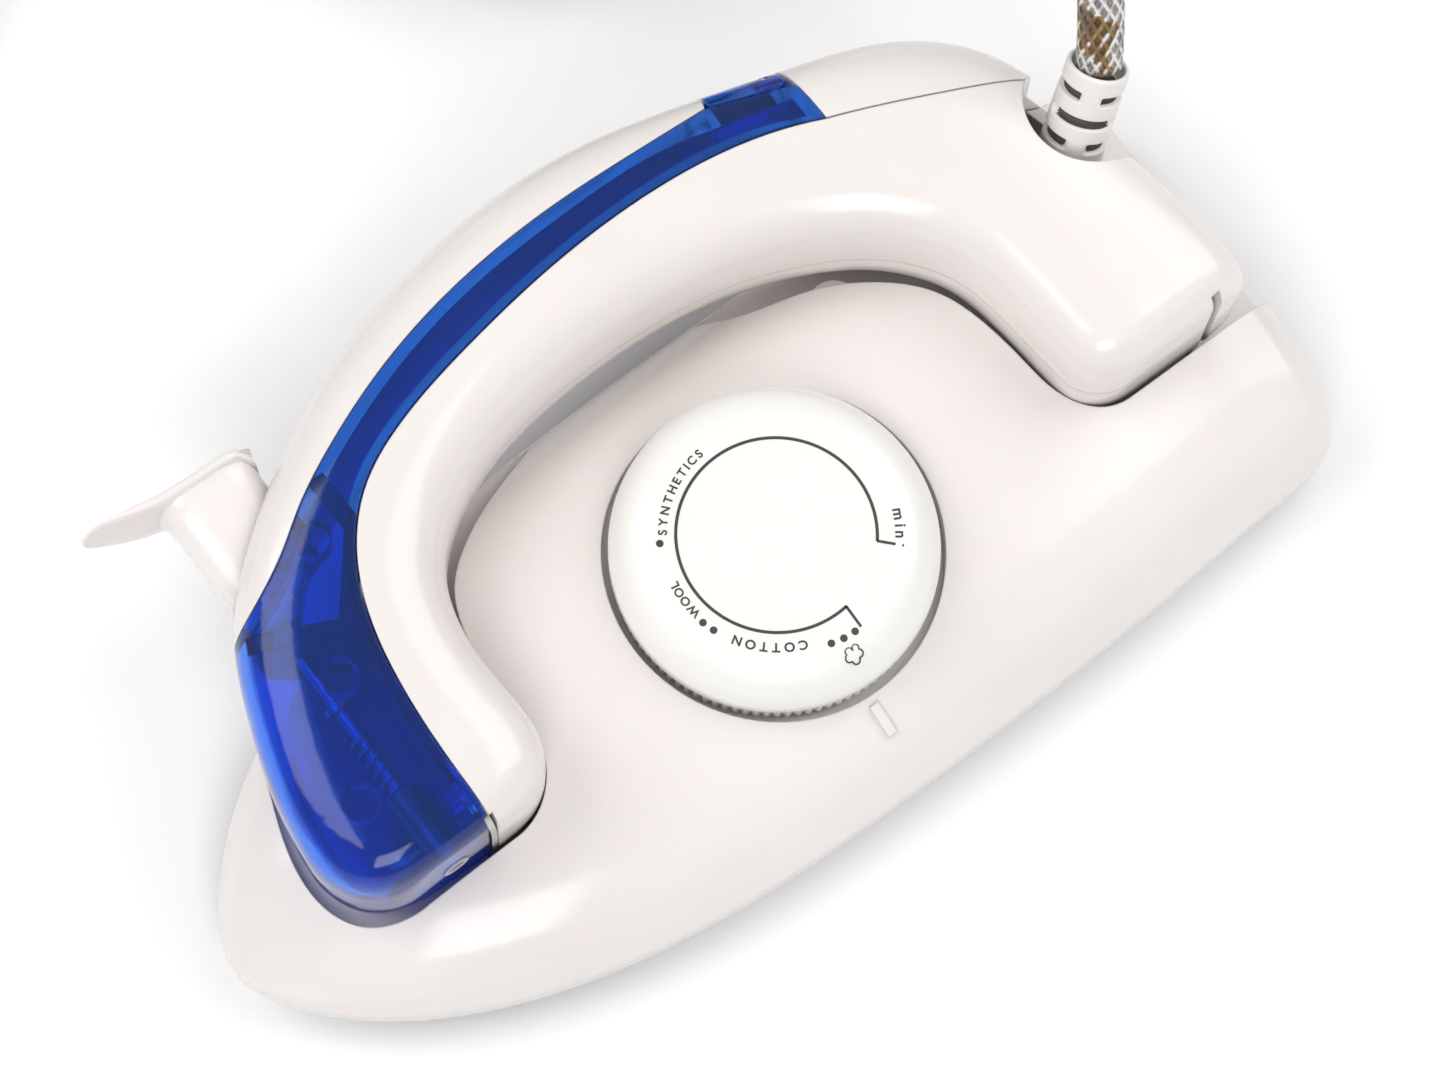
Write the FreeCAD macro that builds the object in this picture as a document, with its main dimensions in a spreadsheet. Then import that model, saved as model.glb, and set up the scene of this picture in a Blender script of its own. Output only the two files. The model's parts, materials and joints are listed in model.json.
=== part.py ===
import FreeCAD, Part
import Sketcher
import math
import os

# Travel steam iron with a handle that folds down beside the body.
# Frame: +X to the nose, +Y to the left, +Z up, millimetres, origin on the table under the middle
# of the soleplate.  Every piece is drawn with the handle folded.

doc = FreeCAD.newDocument("travel_steam_iron")
sheet = doc.addObject("Spreadsheet::Sheet", "Sizes")

SIZES = [
    ("body_length", 190, "nose to heel"),
    ("body_half_width", 40, "greatest half width, near the heel"),
    ("belly_x", -20, "where the outline is widest"),
    ("deck_height", 28, "top of the body on the middle line"),
    ("nose_drop", 19, "fall of the deck from the middle to the nose"),
    ("skirt_bottom", 5.2, "lower edge of the body shell"),
    ("spring_height", 8, "height where the side starts to curve in"),
    ("wall", 2.2, "wall of the body shell"),
    ("heel_radius", 7, "rounding of the heel"),
    ("recess_floor", 16, "floor of the recess under the folded handle"),
    ("plate_thickness", 4, "soleplate"),
    ("plate_inset", 2.2, "soleplate edge inside the body outline"),
    ("skirt_thickness", 1.2, "heat skirt between soleplate and body"),
    ("dial_x", -7.5, "dial axis"),
    ("dial_radius", 25.3, "dial rim"),
    ("dial_top", 37.5, "top face of the dial"),
    ("dial_rim", 28.5, "lower edge of the dial cap"),
    ("dial_skirt_bottom", 23.6, "lower edge of the knurled ring"),
    ("well_radius", 26.3, "round well that the dial sits in"),
    ("well_floor", 22.6, "floor of the well"),
    ("mid_height", 33, "middle plane of the folded handle"),
    ("half_depth", 15, "half thickness of the handle"),
    ("foot_round", 6.5, "edge rounding of the handle feet"),
    ("handle_wall", 2.2, "wall of the handle mouldings"),
    ("seam_gap", 0.12, "clearance each side of a seam"),
    ("front_foot", 11.3, "end of the front foot"),
    ("rear_foot", 12.2, "end of the rear foot"),
    ("hinge_y", 3.5, "fold axis"),
    ("hinge_z", 36.5, "fold axis"),
    ("rear_ear_x", -82, "middle of the rear hinge ear"),
    ("front_ear_x", 53.4, "middle of the front hinge ear"),
    ("ear_thickness", 1, "steel sheet of the ears"),
    ("ear_half_width", 8, "ear around its pin"),
    ("pin_radius", 2, "hinge pins"),
    ("valve_x", 60.4, "drip valve and its rod"),
    ("rod_radius", 1.1, "valve rod"),
    ("button_travel", 3.5, "stroke of the steam button"),
    ("cord_diameter", 7.2, "textile covered mains lead"),
    ("coil_radius", 36, "middle of the turns of the coiled lead"),
    ("coil_width", 14.4, "two turns side by side"),
    ("coil_height", 28.8, "four layers of turns"),
    ("coil_x", -60.4, "middle of the coil"),
    ("coil_y", -143.5, "middle of the coil"),
]

for row, (alias, number, note) in enumerate(SIZES, start=1):
    sheet.set("A%d" % row, alias)
    sheet.set("B%d" % row, str(number))
    sheet.set("C%d" % row, note)
    sheet.setAlias("B%d" % row, alias)
doc.recompute()


def size(alias):
    return float(sheet.get(alias))


V = FreeCAD.Vector
MID = size("mid_height")
GAP = size("seam_gap")
TALL = 80.0        # taller than anything that a prism has to cut
PIECES = []


# ---------------------------------------------------------------- helpers

def keep_feature(label, shape):
    """A sub-part whose shape comes from Part's own functions."""
    feature = doc.addObject("Part::Feature", label)
    feature.Shape = shape
    feature.Label = label
    PIECES.append(feature)
    return feature


def new_body(label):
    body = doc.addObject("PartDesign::Body", label)
    body.Label = label
    PIECES.append(body)
    return body


def new_sketch(body, role, name, offset=None, expression=None):
    """A sketch on one of the body's own origin planes; the expression lifts it off that plane."""
    plane = next(item for item in body.Origin.OriginFeatures if item.Role == role)
    sketch = body.newObject("Sketcher::SketchObject", name)
    sketch.AttachmentSupport = [(plane, "")]
    sketch.MapMode = "FlatFace"
    if offset is not None:
        sketch.AttachmentOffset = FreeCAD.Placement(V(*offset), FreeCAD.Rotation())
    if expression:
        sketch.setExpression("AttachmentOffset.Base.z", expression)
    return sketch


def add_circle(sketch, x, y, radius, expression=None):
    index = sketch.addGeometry(Part.Circle(V(x, y, 0), V(0, 0, 1), radius), False)
    sketch.addConstraint(Sketcher.Constraint("Radius", index, radius))
    if expression:
        sketch.setExpression("Constraints[%d]" % (sketch.ConstraintCount - 1), expression)
    return index


def add_polygon(sketch, points):
    first = sketch.GeometryCount
    count = len(points)
    for i in range(count):
        start, end = points[i], points[(i + 1) % count]
        sketch.addGeometry(Part.LineSegment(V(start[0], start[1], 0), V(end[0], end[1], 0)), False)
    for i in range(count):
        sketch.addConstraint(
            Sketcher.Constraint("Coincident", first + i, 2, first + (i + 1) % count, 1))


def pad(body, sketch, name, expression, reverse=False):
    feature = body.newObject("PartDesign::Pad", name)
    feature.Profile = sketch
    feature.setExpression("Length", expression)
    feature.Reversed = reverse
    doc.recompute()
    return feature


def pocket(body, sketch, name, expression, reverse=False):
    """Cuts the sketch out of the body and checks that something was cut."""
    before = body.Shape.Volume
    feature = body.newObject("PartDesign::Pocket", name)
    feature.Profile = sketch
    feature.setExpression("Length", expression)
    feature.Reversed = reverse
    doc.recompute()
    if body.Shape.Volume > before - 1e-3:
        raise RuntimeError("%s cut nothing from %s" % (name, body.Label))
    return feature


def revolve(body, name, profile, axis="V_Axis"):
    """A turned piece: the profile is (radius, height) round the sketch's upright axis."""
    sketch = new_sketch(body, "XZ_Plane", name + "_profile")
    add_polygon(sketch, profile)
    feature = body.newObject("PartDesign::Revolution", name)
    feature.Profile = sketch
    feature.ReferenceAxis = (sketch, [axis])
    feature.Angle = 360
    doc.recompute()
    return feature


def place(body, x=None, y=None, z=None, direction=None):
    """Stands a turned piece at a point, its own +Z along the direction; texts are expressions."""
    turn = FreeCAD.Rotation()
    if direction is not None:
        turn = FreeCAD.Rotation(V(0, 0, 1), V(*direction))
    numbers = [0 if item is None or isinstance(item, str) else item for item in (x, y, z)]
    body.Placement = FreeCAD.Placement(V(*numbers), turn)
    for axis, item in zip("xyz", (x, y, z)):
        if isinstance(item, str):
            body.setExpression("Placement.Base." + axis, item)


def spline(points, closed=False):
    curve = Part.BSplineCurve()
    curve.interpolate(Points=[V(*point) for point in points], PeriodicFlag=closed)
    return curve.toShape()


def offset_line(points, distance):
    """The same open line, moved to its left by the distance."""
    moved = []
    for i, (x, y) in enumerate(points):
        before = points[max(i - 1, 0)]
        after = points[min(i + 1, len(points) - 1)]
        dx, dy = after[0] - before[0], after[1] - before[1]
        long = math.hypot(dx, dy)
        moved.append((x - dy / long * distance, y + dx / long * distance))
    return moved


def prism(curves, z0, z1):
    """An upright prism over a closed outline: each entry is a list of points, a spline when it
    has more than two, and straight lines join one entry to the next."""
    edges = []
    for i, points in enumerate(curves):
        flat = [(x, y, z0) for x, y in points]
        if len(flat) > 2:
            edges.append(spline(flat))
        elif len(flat) == 2:
            edges.append(Part.makeLine(V(*flat[0]), V(*flat[1])))
        after = curves[(i + 1) % len(curves)][0]
        end = flat[-1]
        if math.hypot(end[0] - after[0], end[1] - after[1]) > 1e-6:
            edges.append(Part.makeLine(V(*end), V(after[0], after[1], z0)))
    face = Part.Face(Part.Wire(edges))
    return face.extrude(V(0, 0, z1 - z0))


def box(x0, x1, y0, y1, z0, z1):
    return Part.makeBox(x1 - x0, y1 - y0, z1 - z0, V(x0, y0, z0))


def rod(radius, start, end):
    axis = V(*end) - V(*start)
    return Part.makeCylinder(radius, axis.Length, V(*start), axis)


def biggest(shape):
    """The main solid of a boolean result, without slivers."""
    return max(shape.Solids, key=lambda solid: solid.Volume)


# ---------------------------------------------------------------- body outline and crown

HALF_LENGTH = size("body_length") / 2
HALF_WIDTH = size("body_half_width")
BELLY = size("belly_x")
HEEL_ROUND = size("heel_radius")
SPRING = size("spring_height")
DECK = size("deck_height")
TIP = HALF_LENGTH - 0.35
NOSE_POWER, NOSE_ROOT, TAIL_TAPER = 3.0, 0.637, 0.1
CROWN_POWER = 2.6


def heel_inset(x):
    """How far the quarter round at the heel pulls the width and the height in."""
    deep = max(0.0, HEEL_ROUND - (x + HALF_LENGTH))
    return HEEL_ROUND - math.sqrt(max(0.0, HEEL_ROUND ** 2 - deep ** 2))


def half_width(x):
    forward = max(0.0, (x - BELLY) / (HALF_LENGTH - BELLY))
    rearward = max(0.0, (BELLY - x) / (HALF_LENGTH + BELLY))
    width = HALF_WIDTH * (1 - forward ** NOSE_POWER) ** NOSE_ROOT
    return width * (1 - TAIL_TAPER * rearward ** 2) - heel_inset(x)


def crown_height(x):
    forward = max(0.0, (x - 20) / (HALF_LENGTH - 20))
    return DECK - size("nose_drop") * forward ** 4 - heel_inset(x)


def stations(start, end):
    """Places along the body where sections are drawn, closer at the rounded ends."""
    inner = [-94.6, -93.4, -91.2, -88, -78, -60, -40, -20, 0, 18, 34, 48, 60, 70, 78, 84, 88.5, 92]
    return [start] + [x for x in inner if start + 0.2 < x < end - 0.2] + [end]


def crown(inset, bottom, start, end):
    """The domed block inside the body outline, inset all round."""
    wires = []
    for x in stations(start, end):
        wide = half_width(x) - inset
        high = crown_height(x) - inset - SPRING
        points = []
        for step in range(17):
            angle = math.pi * step / 16
            across = abs(math.cos(angle)) ** (2 / CROWN_POWER)
            up = abs(math.sin(angle)) ** (2 / CROWN_POWER)
            points.append((x, math.copysign(wide * across, math.cos(angle)), SPRING + high * up))
        points[0], points[-1] = (x, wide, SPRING), (x, -wide, SPRING)
        left, right = V(x, wide, bottom), V(x, -wide, bottom)
        wires.append(Part.Wire([
            spline(points),
            Part.makeLine(V(*points[-1]), right),
            Part.makeLine(right, left),
            Part.makeLine(left, V(*points[0])),
        ]))
    return Part.makeLoft(wires, True, False)


def outline_points(inset, start, end):
    """Left side of the plan outline from heel to nose, inset in Y."""
    return [(x, max(0.0, half_width(x) - inset)) for x in stations(start, end)]


def plan_block(inset, start, end, z0, z1):
    left = outline_points(inset, start, end)
    right = [(x, -y) for x, y in reversed(left)]
    return prism([left, right], z0, z1)


# ---------------------------------------------------------------- handle form

# Inner edge of the loop and outer edge of the handle, from the front leg round to the rear leg;
# each pair is one rib.  Last number: how square the rib's section is.
LOOP_RIBS = [
    ((39.2, -4.0), (77.9, -3.0), 4.0),
    ((39.4, -12.0), (76.2, -13.0), 3.9),
    ((38.1, -19.5), (72.6, -24.0), 3.7),
    ((35.0, -25.8), (67.0, -35.5), 3.4),
    ((30.4, -30.2), (58.6, -44.5), 3.1),
    ((24.2, -33.8), (46.3, -53.3), 2.9),
    ((15.5, -36.8), (31.0, -61.4), 2.7),
    ((4.0, -38.4), (11.0, -66.8), 2.6),
    ((-10.0, -38.7), (-12.0, -68.2), 2.6),
    ((-25.0, -36.8), (-33.5, -64.2), 2.6),
    ((-38.0, -32.2), (-53.0, -58.4), 2.7),
    ((-47.6, -26.2), (-68.5, -52.5), 2.9),
    ((-54.0, -18.5), (-79.8, -41.5), 3.2),
    ((-56.6, -10.0), (-85.2, -24.5), 3.5),
    ((-57.5, -2.0), (-88.0, -8.5), 3.8),
]
FOOT_STEPS = [0.0, 0.5, 1.9, 4.3, 8.5]
FRONT_INNER_ROUND, FRONT_OUTER_ROUND = 9.5, 11.0
REAR_INNER_ROUND, REAR_OUTER_ROUND = 8.0, 3.5


def quarter(radius, depth):
    """Inset of a quarter round of that radius, this deep from the end."""
    left = max(0.0, radius - depth)
    return radius - math.sqrt(radius ** 2 - left ** 2)


def ribs():
    """All sections of the handle: (inner point, outer point, half depth, squareness, foot depth)."""
    deep, end_round = size("half_depth"), size("foot_round")
    result = []
    for step in FOOT_STEPS:
        inner = (39.2 + quarter(FRONT_INNER_ROUND, step), size("front_foot") - step)
        outer = (77.9 - quarter(FRONT_OUTER_ROUND, step), size("front_foot") - step)
        result.append((inner, outer, deep - quarter(end_round, step), 4.0, step))
    for inner, outer, square in LOOP_RIBS:
        result.append((inner, outer, deep, square, 99.0))
    for step in reversed(FOOT_STEPS):
        inner = (-58.0 - quarter(REAR_INNER_ROUND, step), size("rear_foot") - step)
        outer = (-89.4 + quarter(REAR_OUTER_ROUND, step), size("rear_foot") - step)
        result.append((inner, outer, deep - quarter(end_round, step), 4.0, step))
    return result


def handle_form(inset):
    """The outer form of the whole handle, or the space inside its wall."""
    wires = []
    for inner, outer, deep, square, step in ribs():
        if step < inset:
            continue
        across = V(outer[0] - inner[0], outer[1] - inner[1], 0)
        reach = across.Length / 2 - inset
        middle = V((inner[0] + outer[0]) / 2, (inner[1] + outer[1]) / 2, MID)
        across.normalize()
        halves = []
        for sign in (1, -1):
            points = []
            for part in range(13):
                angle = math.pi * part / 12
                side = abs(math.cos(angle)) ** (2 / square)
                up = math.sin(angle) ** (2 / square) if 0 < part < 12 else 0.0
                point = middle + across * math.copysign(reach * side, sign * math.cos(angle))
                points.append(point + V(0, 0, sign * (deep - inset) * up))
            halves.append(spline(points))
        wires.append(Part.Wire(halves))
    return Part.makeLoft(wires, True, False)


# Seams of the handle in plan.
GRIP_SEAM = [(-51.0, -45.6), (-38.0, -50.0), (-20.6, -52.0), (-5.2, -51.5), (13.6, -48.8),
             (29.3, -44.9), (38.9, -40.2), (46.1, -32.4), (50.0, -23.9), (52.2, -13.9),
             (53.2, -3.2), (53.4, 7.5), (53.4, 14.0)]
COVER_SEAM = [(-37.8, -58.4), (-26.3, -58.6), (-10.5, -59.0), (7.0, -57.9), (24.6, -54.1),
              (40.0, -48.1), (49.0, -43.2), (54.5, -39.4), (60.5, -36.2), (69.5, -33.0)]
REAR_SEAM = [(-51.0, -45.6), (-60.0, -42.0), (-69.0, -38.0), (-80.0, -33.2), (-92.0, -28.0)]
LID_FRONT, LID_REAR = (-37.8, -58.4), (-50.6, -53.2)


def tank_zone(inset):
    """Plan region of the water tank, inset from its seams."""
    grip = offset_line(GRIP_SEAM, inset * -1)
    cover = offset_line(COVER_SEAM, inset)
    rear_x = -51.0 + inset
    lid_drop = 0.92 * inset
    return prism([
        [(rear_x, grip[0][1] - 0.3 * inset)] + grip[1:],
        [(95, 20), (95, -33 + inset)],
        list(reversed(cover[1:])) + [(cover[0][0] + inset, cover[0][1] + inset)],
        [(rear_x, LID_REAR[1] + lid_drop)],
    ], 0, TALL)


def grip_zone(inset):
    """Plan region of the two grip halves: the loop side of both seams."""
    corner = (GRIP_SEAM[0][0], GRIP_SEAM[0][1] + inset)
    rear = offset_line(list(reversed(REAR_SEAM)), inset)[:-1] + [corner]
    grip = [corner] + offset_line(GRIP_SEAM, inset)[1:]
    return prism([rear, grip, [(grip[-1][0], 30), (-100, 30)]], 0, TALL)


def top_cover_zone(inset):
    seam = offset_line(COVER_SEAM, -inset)
    return prism([
        [(LID_FRONT[0] + inset, seam[0][1])] + seam[1:],
        [(95, -33), (95, -90)],
        [(-51 + inset, -90)],
    ], 0, TALL)


def rear_cover_zone(inset):
    seam = offset_line(REAR_SEAM, inset)
    return prism([
        [(-51 - inset, seam[0][1])] + seam[1:],
        [(-110, -28), (-110, -90)],
        [(-51 - inset, -90)],
    ], 0, TALL)


def lid_zone(inset):
    slope = (LID_REAR[1] - LID_FRONT[1]) / (LID_REAR[0] - LID_FRONT[0])
    front, rear = LID_FRONT[0] - 1.3 * inset, LID_REAR[0] + inset
    level = LID_FRONT[1] - 1.1 * inset
    return prism([
        [(front, level + slope * (front - LID_FRONT[0])), (rear, level + slope * (rear - LID_FRONT[0]))],
        [(rear, -90), (-51 - 1.3 * inset, -90)],
    ], 0, TALL)


# ---------------------------------------------------------------- body pieces

FRONT_RECESS = [(62.0, -48.0), (69.8, -29.5), (74.6, -18.0), (77.9, -9.0), (79.2, -1.5), (78.4, 4.4),
                (75.8, 8.8), (71.6, 11.4), (66.0, 12.2)]
FRONT_ISLAND = [(49.5, 12.2), (43.4, 9.9), (39.6, 5.2), (38.2, -2.0), (38.5, -11.8), (37.3, -19.0),
                (34.3, -25.2), (29.8, -29.3), (23.8, -32.8), (15.2, -36.2), (6.0, -41.0), (3.0, -48.0)]
REAR_ISLAND = [(-16.0, -48.0), (-20.5, -40.5), (-25.3, -35.9), (-37.6, -31.3), (-46.8, -25.6),
               (-53.1, -18.1), (-55.7, -9.8), (-56.8, -1.5), (-57.9, 5.8), (-61.0, 10.9), (-66.2, 13.1)]


def recess(grow, floor):
    """The room under the folded handle; grow makes it wider for the wall behind it."""
    front = offset_line(FRONT_RECESS, -grow)
    island = offset_line(FRONT_ISLAND, -grow)
    rear = offset_line(REAR_ISLAND, -grow)
    nose_part = prism([front, island], floor, TALL)
    heel_part = prism([rear, [(-66.2, 13.1 + grow), (-99, 13.1 + grow)], [(-99, -48)]], floor, TALL)
    return [nose_part, heel_part]


def ear_slot(x, width, z0, z1):
    half = size("ear_half_width") + 0.1
    middle = size("hinge_y")
    return box(x - width / 2, x + width / 2, middle - half, middle + half, z0, z1)


BOSSES = [(24.0, 28.5), (24.0, -27.5), (-40.0, 30.0), (-40.0, -27.5)]


def body_shell():
    wall, floor = size("wall"), size("recess_floor")
    bottom = size("skirt_bottom")
    dial = V(size("dial_x"), 0, 0)
    outer = crown(0, bottom, -HALF_LENGTH, TIP)
    well = Part.makeCylinder(size("well_radius"), TALL, dial + V(0, 0, size("well_floor")))
    outer = outer.cut(recess(0, floor) + [well])
    inner = crown(wall, bottom - 1, -HALF_LENGTH + wall, 91.8)
    back = Part.makeCylinder(size("well_radius") + wall, TALL, dial + V(0, 0, size("well_floor") - 2))
    inner = inner.cut(recess(wall, floor - 2) + [back])
    shell = outer.cut(inner)
    index = crown(-0.8, 12, -30, 30).common(box(-6.4, -4.8, 27.7, 32.8, 18, 40))
    posts = []
    for x, y in BOSSES:
        posts.append(rod(3.6, (x, y, bottom), (x, y, DECK)).common(
            crown(0.5, bottom, -60, 60)))
    shell = shell.fuse([index] + posts)
    cuts = [rod(4.3, (dial.x, 0, 10), (dial.x, 0, 30))]
    for x, y in BOSSES:
        cuts.append(rod(1.35, (x, y, 0), (x, y, 17)))
    for x in (size("rear_ear_x"), size("front_ear_x")):
        cuts.append(ear_slot(x, 1.2, 10, 20))
        cuts.append(rod(1.3, (x + EAR_SCREW[0], EAR_SCREW[1], 10), (x + EAR_SCREW[0], EAR_SCREW[1], 15.2)))
    cuts.append(rod(2.6, (size("valve_x"), 0, 10), (size("valve_x"), 0, 20)))
    return biggest(shell.cut(cuts).removeSplitter())


def plan_sketch(body, inset, start, end, z, name):
    """Sketch of the plan outline: one spline each side, closed at the heel and the nose."""
    sketch = new_sketch(body, "XY_Plane", name, offset=(0, 0, z))
    left = [V(x, y, 0) for x, y in outline_points(inset, start, end)]
    right = [V(point.x, -point.y, 0) for point in left]
    for side in (left, right):
        curve = Part.BSplineCurve()
        curve.interpolate(side)
        sketch.addGeometry(curve, False)
    sketch.addGeometry(Part.LineSegment(left[0], right[0]), False)
    if left[-1].y > 0.01:
        sketch.addGeometry(Part.LineSegment(left[-1], right[-1]), False)
    return sketch


STEAM_ROWS = [(78.0, (0,)), (70.0, (-7, 7)), (60.0, (-13, 0, 13)), (49.0, (-18, 18)),
              (38.0, (-21, 21)), (26.0, (-23, 23))]
CHAMBER = (5.0, 48.0, 11.0)      # rear end, front end, half width of the steam chamber


def soleplate():
    body = new_body("soleplate")
    base = plan_sketch(body, size("plate_inset"), -HALF_LENGTH + 2.2, TIP - 1.4, 0, "plate_outline")
    pad(body, base, "plate", "Sizes.plate_thickness")
    x0, x1, half = CHAMBER
    ring = new_sketch(body, "XY_Plane", "chamber_wall", offset=(0, 0, 0),
                      expression="Sizes.plate_thickness")
    add_polygon(ring, [(x0 - 3, -half - 3), (x1 + 3, -half - 3), (x1 + 3, half + 3), (x0 - 3, half + 3)])
    add_polygon(ring, [(x0, -half), (x1, -half), (x1, half), (x0, half)])
    pad(body, ring, "chamber", "Sizes.plate_thickness + 2")
    holes = new_sketch(body, "XY_Plane", "steam_holes")
    for x, places in STEAM_ROWS:
        for y in places:
            add_circle(holes, x, y, 1.3)
    pocket(body, holes, "steam_outlets", "Sizes.plate_thickness", reverse=True)
    heads = new_sketch(body, "XY_Plane", "screw_pockets", expression="Sizes.plate_thickness")
    for x, y in BOSSES:
        add_circle(heads, x, y, 3.3)
    pocket(body, heads, "head_room", "2")
    threads = new_sketch(body, "XY_Plane", "thread_holes", expression="Sizes.plate_thickness")
    for x, y in PLATE_SCREWS:
        add_circle(threads, x, y, 1.5)
    pocket(body, threads, "threads", "2.6")


PLATE_SCREWS = [(-82.0, 28.0), (-82.0, -28.0), (87.5, 0.0)]


def chamber_plate(label, z, thickness):
    x0, x1, half = CHAMBER
    body = new_body(label)
    sketch = new_sketch(body, "XY_Plane", label + "_outline", offset=(0, 0, z))
    add_polygon(sketch, [(x0 - 3, -half - 3), (x1 + 3, -half - 3), (x1 + 3, half + 3), (x0 - 3, half + 3)])
    if label == "chamber_gasket":
        add_polygon(sketch, [(x0, -half), (x1, -half), (x1, half), (x0, half)])
    else:
        add_circle(sketch, 40, 0, 2.2)
    pad(body, sketch, label + "_pad", thickness)


def heating_element():
    body = new_body("heating_element")
    x0, x1, y, z, radius = -74.0, 45.2, 19.4, 6.4, 2.4
    path = new_sketch(body, "XY_Plane", "heater_path", offset=(0, 0, z))
    path.addGeometry(Part.LineSegment(V(x0, y, 0), V(x1, y, 0)), False)
    path.addGeometry(Part.ArcOfCircle(Part.Circle(V(x1, 0, 0), V(0, 0, 1), y), -math.pi / 2, math.pi / 2), False)
    path.addGeometry(Part.LineSegment(V(x1, -y, 0), V(x0, -y, 0)), False)
    section = new_sketch(body, "YZ_Plane", "heater_section")
    section.AttachmentOffset = FreeCAD.Placement(V(0, 0, x0), FreeCAD.Rotation())
    add_circle(section, y, z, radius)
    pipe = body.newObject("PartDesign::AdditivePipe", "heater_tube")
    pipe.Profile = section
    pipe.Spine = (path, ["Edge1", "Edge2", "Edge3"])
    doc.recompute()


def heat_skirt():
    body = new_body("heat_skirt")
    z = size("plate_thickness")
    outer = plan_sketch(body, 0.7, -HALF_LENGTH + 0.7, TIP - 0.6, z, "skirt_outline")
    pad(body, outer, "skirt_ring", "Sizes.skirt_thickness")
    opening = plan_sketch(body, 12.3, -HALF_LENGTH + 10, 80.0, z - 1, "skirt_opening")
    pocket(body, opening, "skirt_hole", "10", reverse=True)
    holes = new_sketch(body, "XY_Plane", "skirt_screw_holes", offset=(0, 0, z - 1))
    for x, y in PLATE_SCREWS:
        add_circle(holes, x, y, 1.7)
    for x, y in BOSSES:
        add_circle(holes, x, y, 1.7)
    pocket(body, holes, "skirt_screw_pockets", "10", reverse=True)


def screw_shape(x, y, z, shank, length, head, head_height, up):
    """A pan-head screw: under-head point, shank along up (+1 or -1), head the other way."""
    stem = rod(shank, (x, y, z), (x, y, z + up * length))
    cap = rod(head, (x, y, z - up * head_height), (x, y, z))
    slot = box(x - head, x + head, y - 0.4, y + 0.4, *sorted((z - up * head_height, z - up * (head_height - 0.6))))
    return stem.fuse(cap.cut(slot))


EAR_FLANGE = 7.5                 # reach of the ear's foot under the recess floor
EAR_SCREW = (4.4, 7.4)           # its screw: ahead of the ear, and Y


def hinge_ear(x):
    """Bent sheet ear: an upright tongue with the pin hole and a foot under the recess floor."""
    half, thick = size("ear_half_width"), size("ear_thickness")
    y, z, low = size("hinge_y"), size("hinge_z"), size("recess_floor") - 2
    upright = box(x - thick / 2, x + thick / 2, y - half, y + half, low - 1.2, z)
    top = rod(half, (x - thick / 2, y, z), (x + thick / 2, y, z))
    foot = box(x - thick / 2, x + EAR_FLANGE, y - 0.5, y + half, low - 1.2, low)
    hole = rod(size("pin_radius") + 0.05, (x - 5, y, z), (x + 5, y, z))
    screw = rod(1.3, (x + EAR_SCREW[0], EAR_SCREW[1], 5), (x + EAR_SCREW[0], EAR_SCREW[1], 20))
    return upright.fuse([top, foot]).cut([hole, screw]).removeSplitter()


def thermostat():
    x = size("dial_x")
    base = box(x - 13, x + 9, -6, 6, 4, 5.5)
    stack = rod(6.5, (x, 0, 5.5), (x, 0, 12.5))
    bush = rod(4.1, (x, 0, 12.5), (x, 0, 19))
    return base.fuse([stack, bush]).cut(rod(3.1, (x, 0, 9), (x, 0, 25))).removeSplitter()


def supply_wires():
    """Two insulated leads from the terminal block round to the ends of the heater."""
    wires = []
    for side in (-1, 1):
        corners = [(-66, side * 4, 7), (-78, side * 4, 7), (-78, side * 20, 7), (-74, side * 20, 7)]
        pieces = [rod(1.1, start, end) for start, end in zip(corners, corners[1:])]
        pieces += [Part.makeSphere(1.1, V(*corner)) for corner in corners[1:3]]
        wires.append(pieces[0].fuse(pieces[1:]).removeSplitter())
    return Part.makeCompound(wires)


def terminal_block():
    """Ceramic block with two cross holes for the leads and two for its screws."""
    body = new_body("terminal_block")
    base = new_sketch(body, "XY_Plane", "block_base", offset=(0, 0, 0), expression="Sizes.plate_thickness")
    add_polygon(base, [(-66, -7), (-46, -7), (-46, 7), (-66, 7)])
    pad(body, base, "block", "Sizes.plate_thickness + 4")
    holes = new_sketch(body, "XY_Plane", "block_screws", offset=(0, 0, 12))
    for x in (-61, -51):
        for y in (-4, 4):
            add_circle(holes, x, y, 1.4)
    pocket(body, holes, "block_holes", "2.5")


def thermal_fuse():
    fuse = doc.addObject("Part::Cylinder", "thermal_fuse")
    fuse.Label = "thermal_fuse"
    fuse.Radius = 2.2
    fuse.Height = 14
    fuse.Placement = FreeCAD.Placement(V(-40, 0, 6.2), FreeCAD.Rotation(V(0, 0, 1), V(1, 0, 0)))
    fuse.setExpression("Placement.Base.z", "Sizes.plate_thickness + 2.2")
    PIECES.append(fuse)


def inlet_seal():
    """Rubber grommet in the recess floor that takes the drops from the nozzle."""
    x, floor = size("valve_x"), size("recess_floor")
    lip = rod(4.2, (x, 0, floor), (x, 0, floor + 1))
    neck = rod(2.55, (x, 0, floor - 3), (x, 0, floor))
    funnel = Part.makeCone(1.0, 3.6, 2.4, V(x, 0, floor - 1.3))
    return lip.fuse(neck).cut([rod(1.0, (x, 0, 5), (x, 0, 20)), funnel]).removeSplitter()


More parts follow.
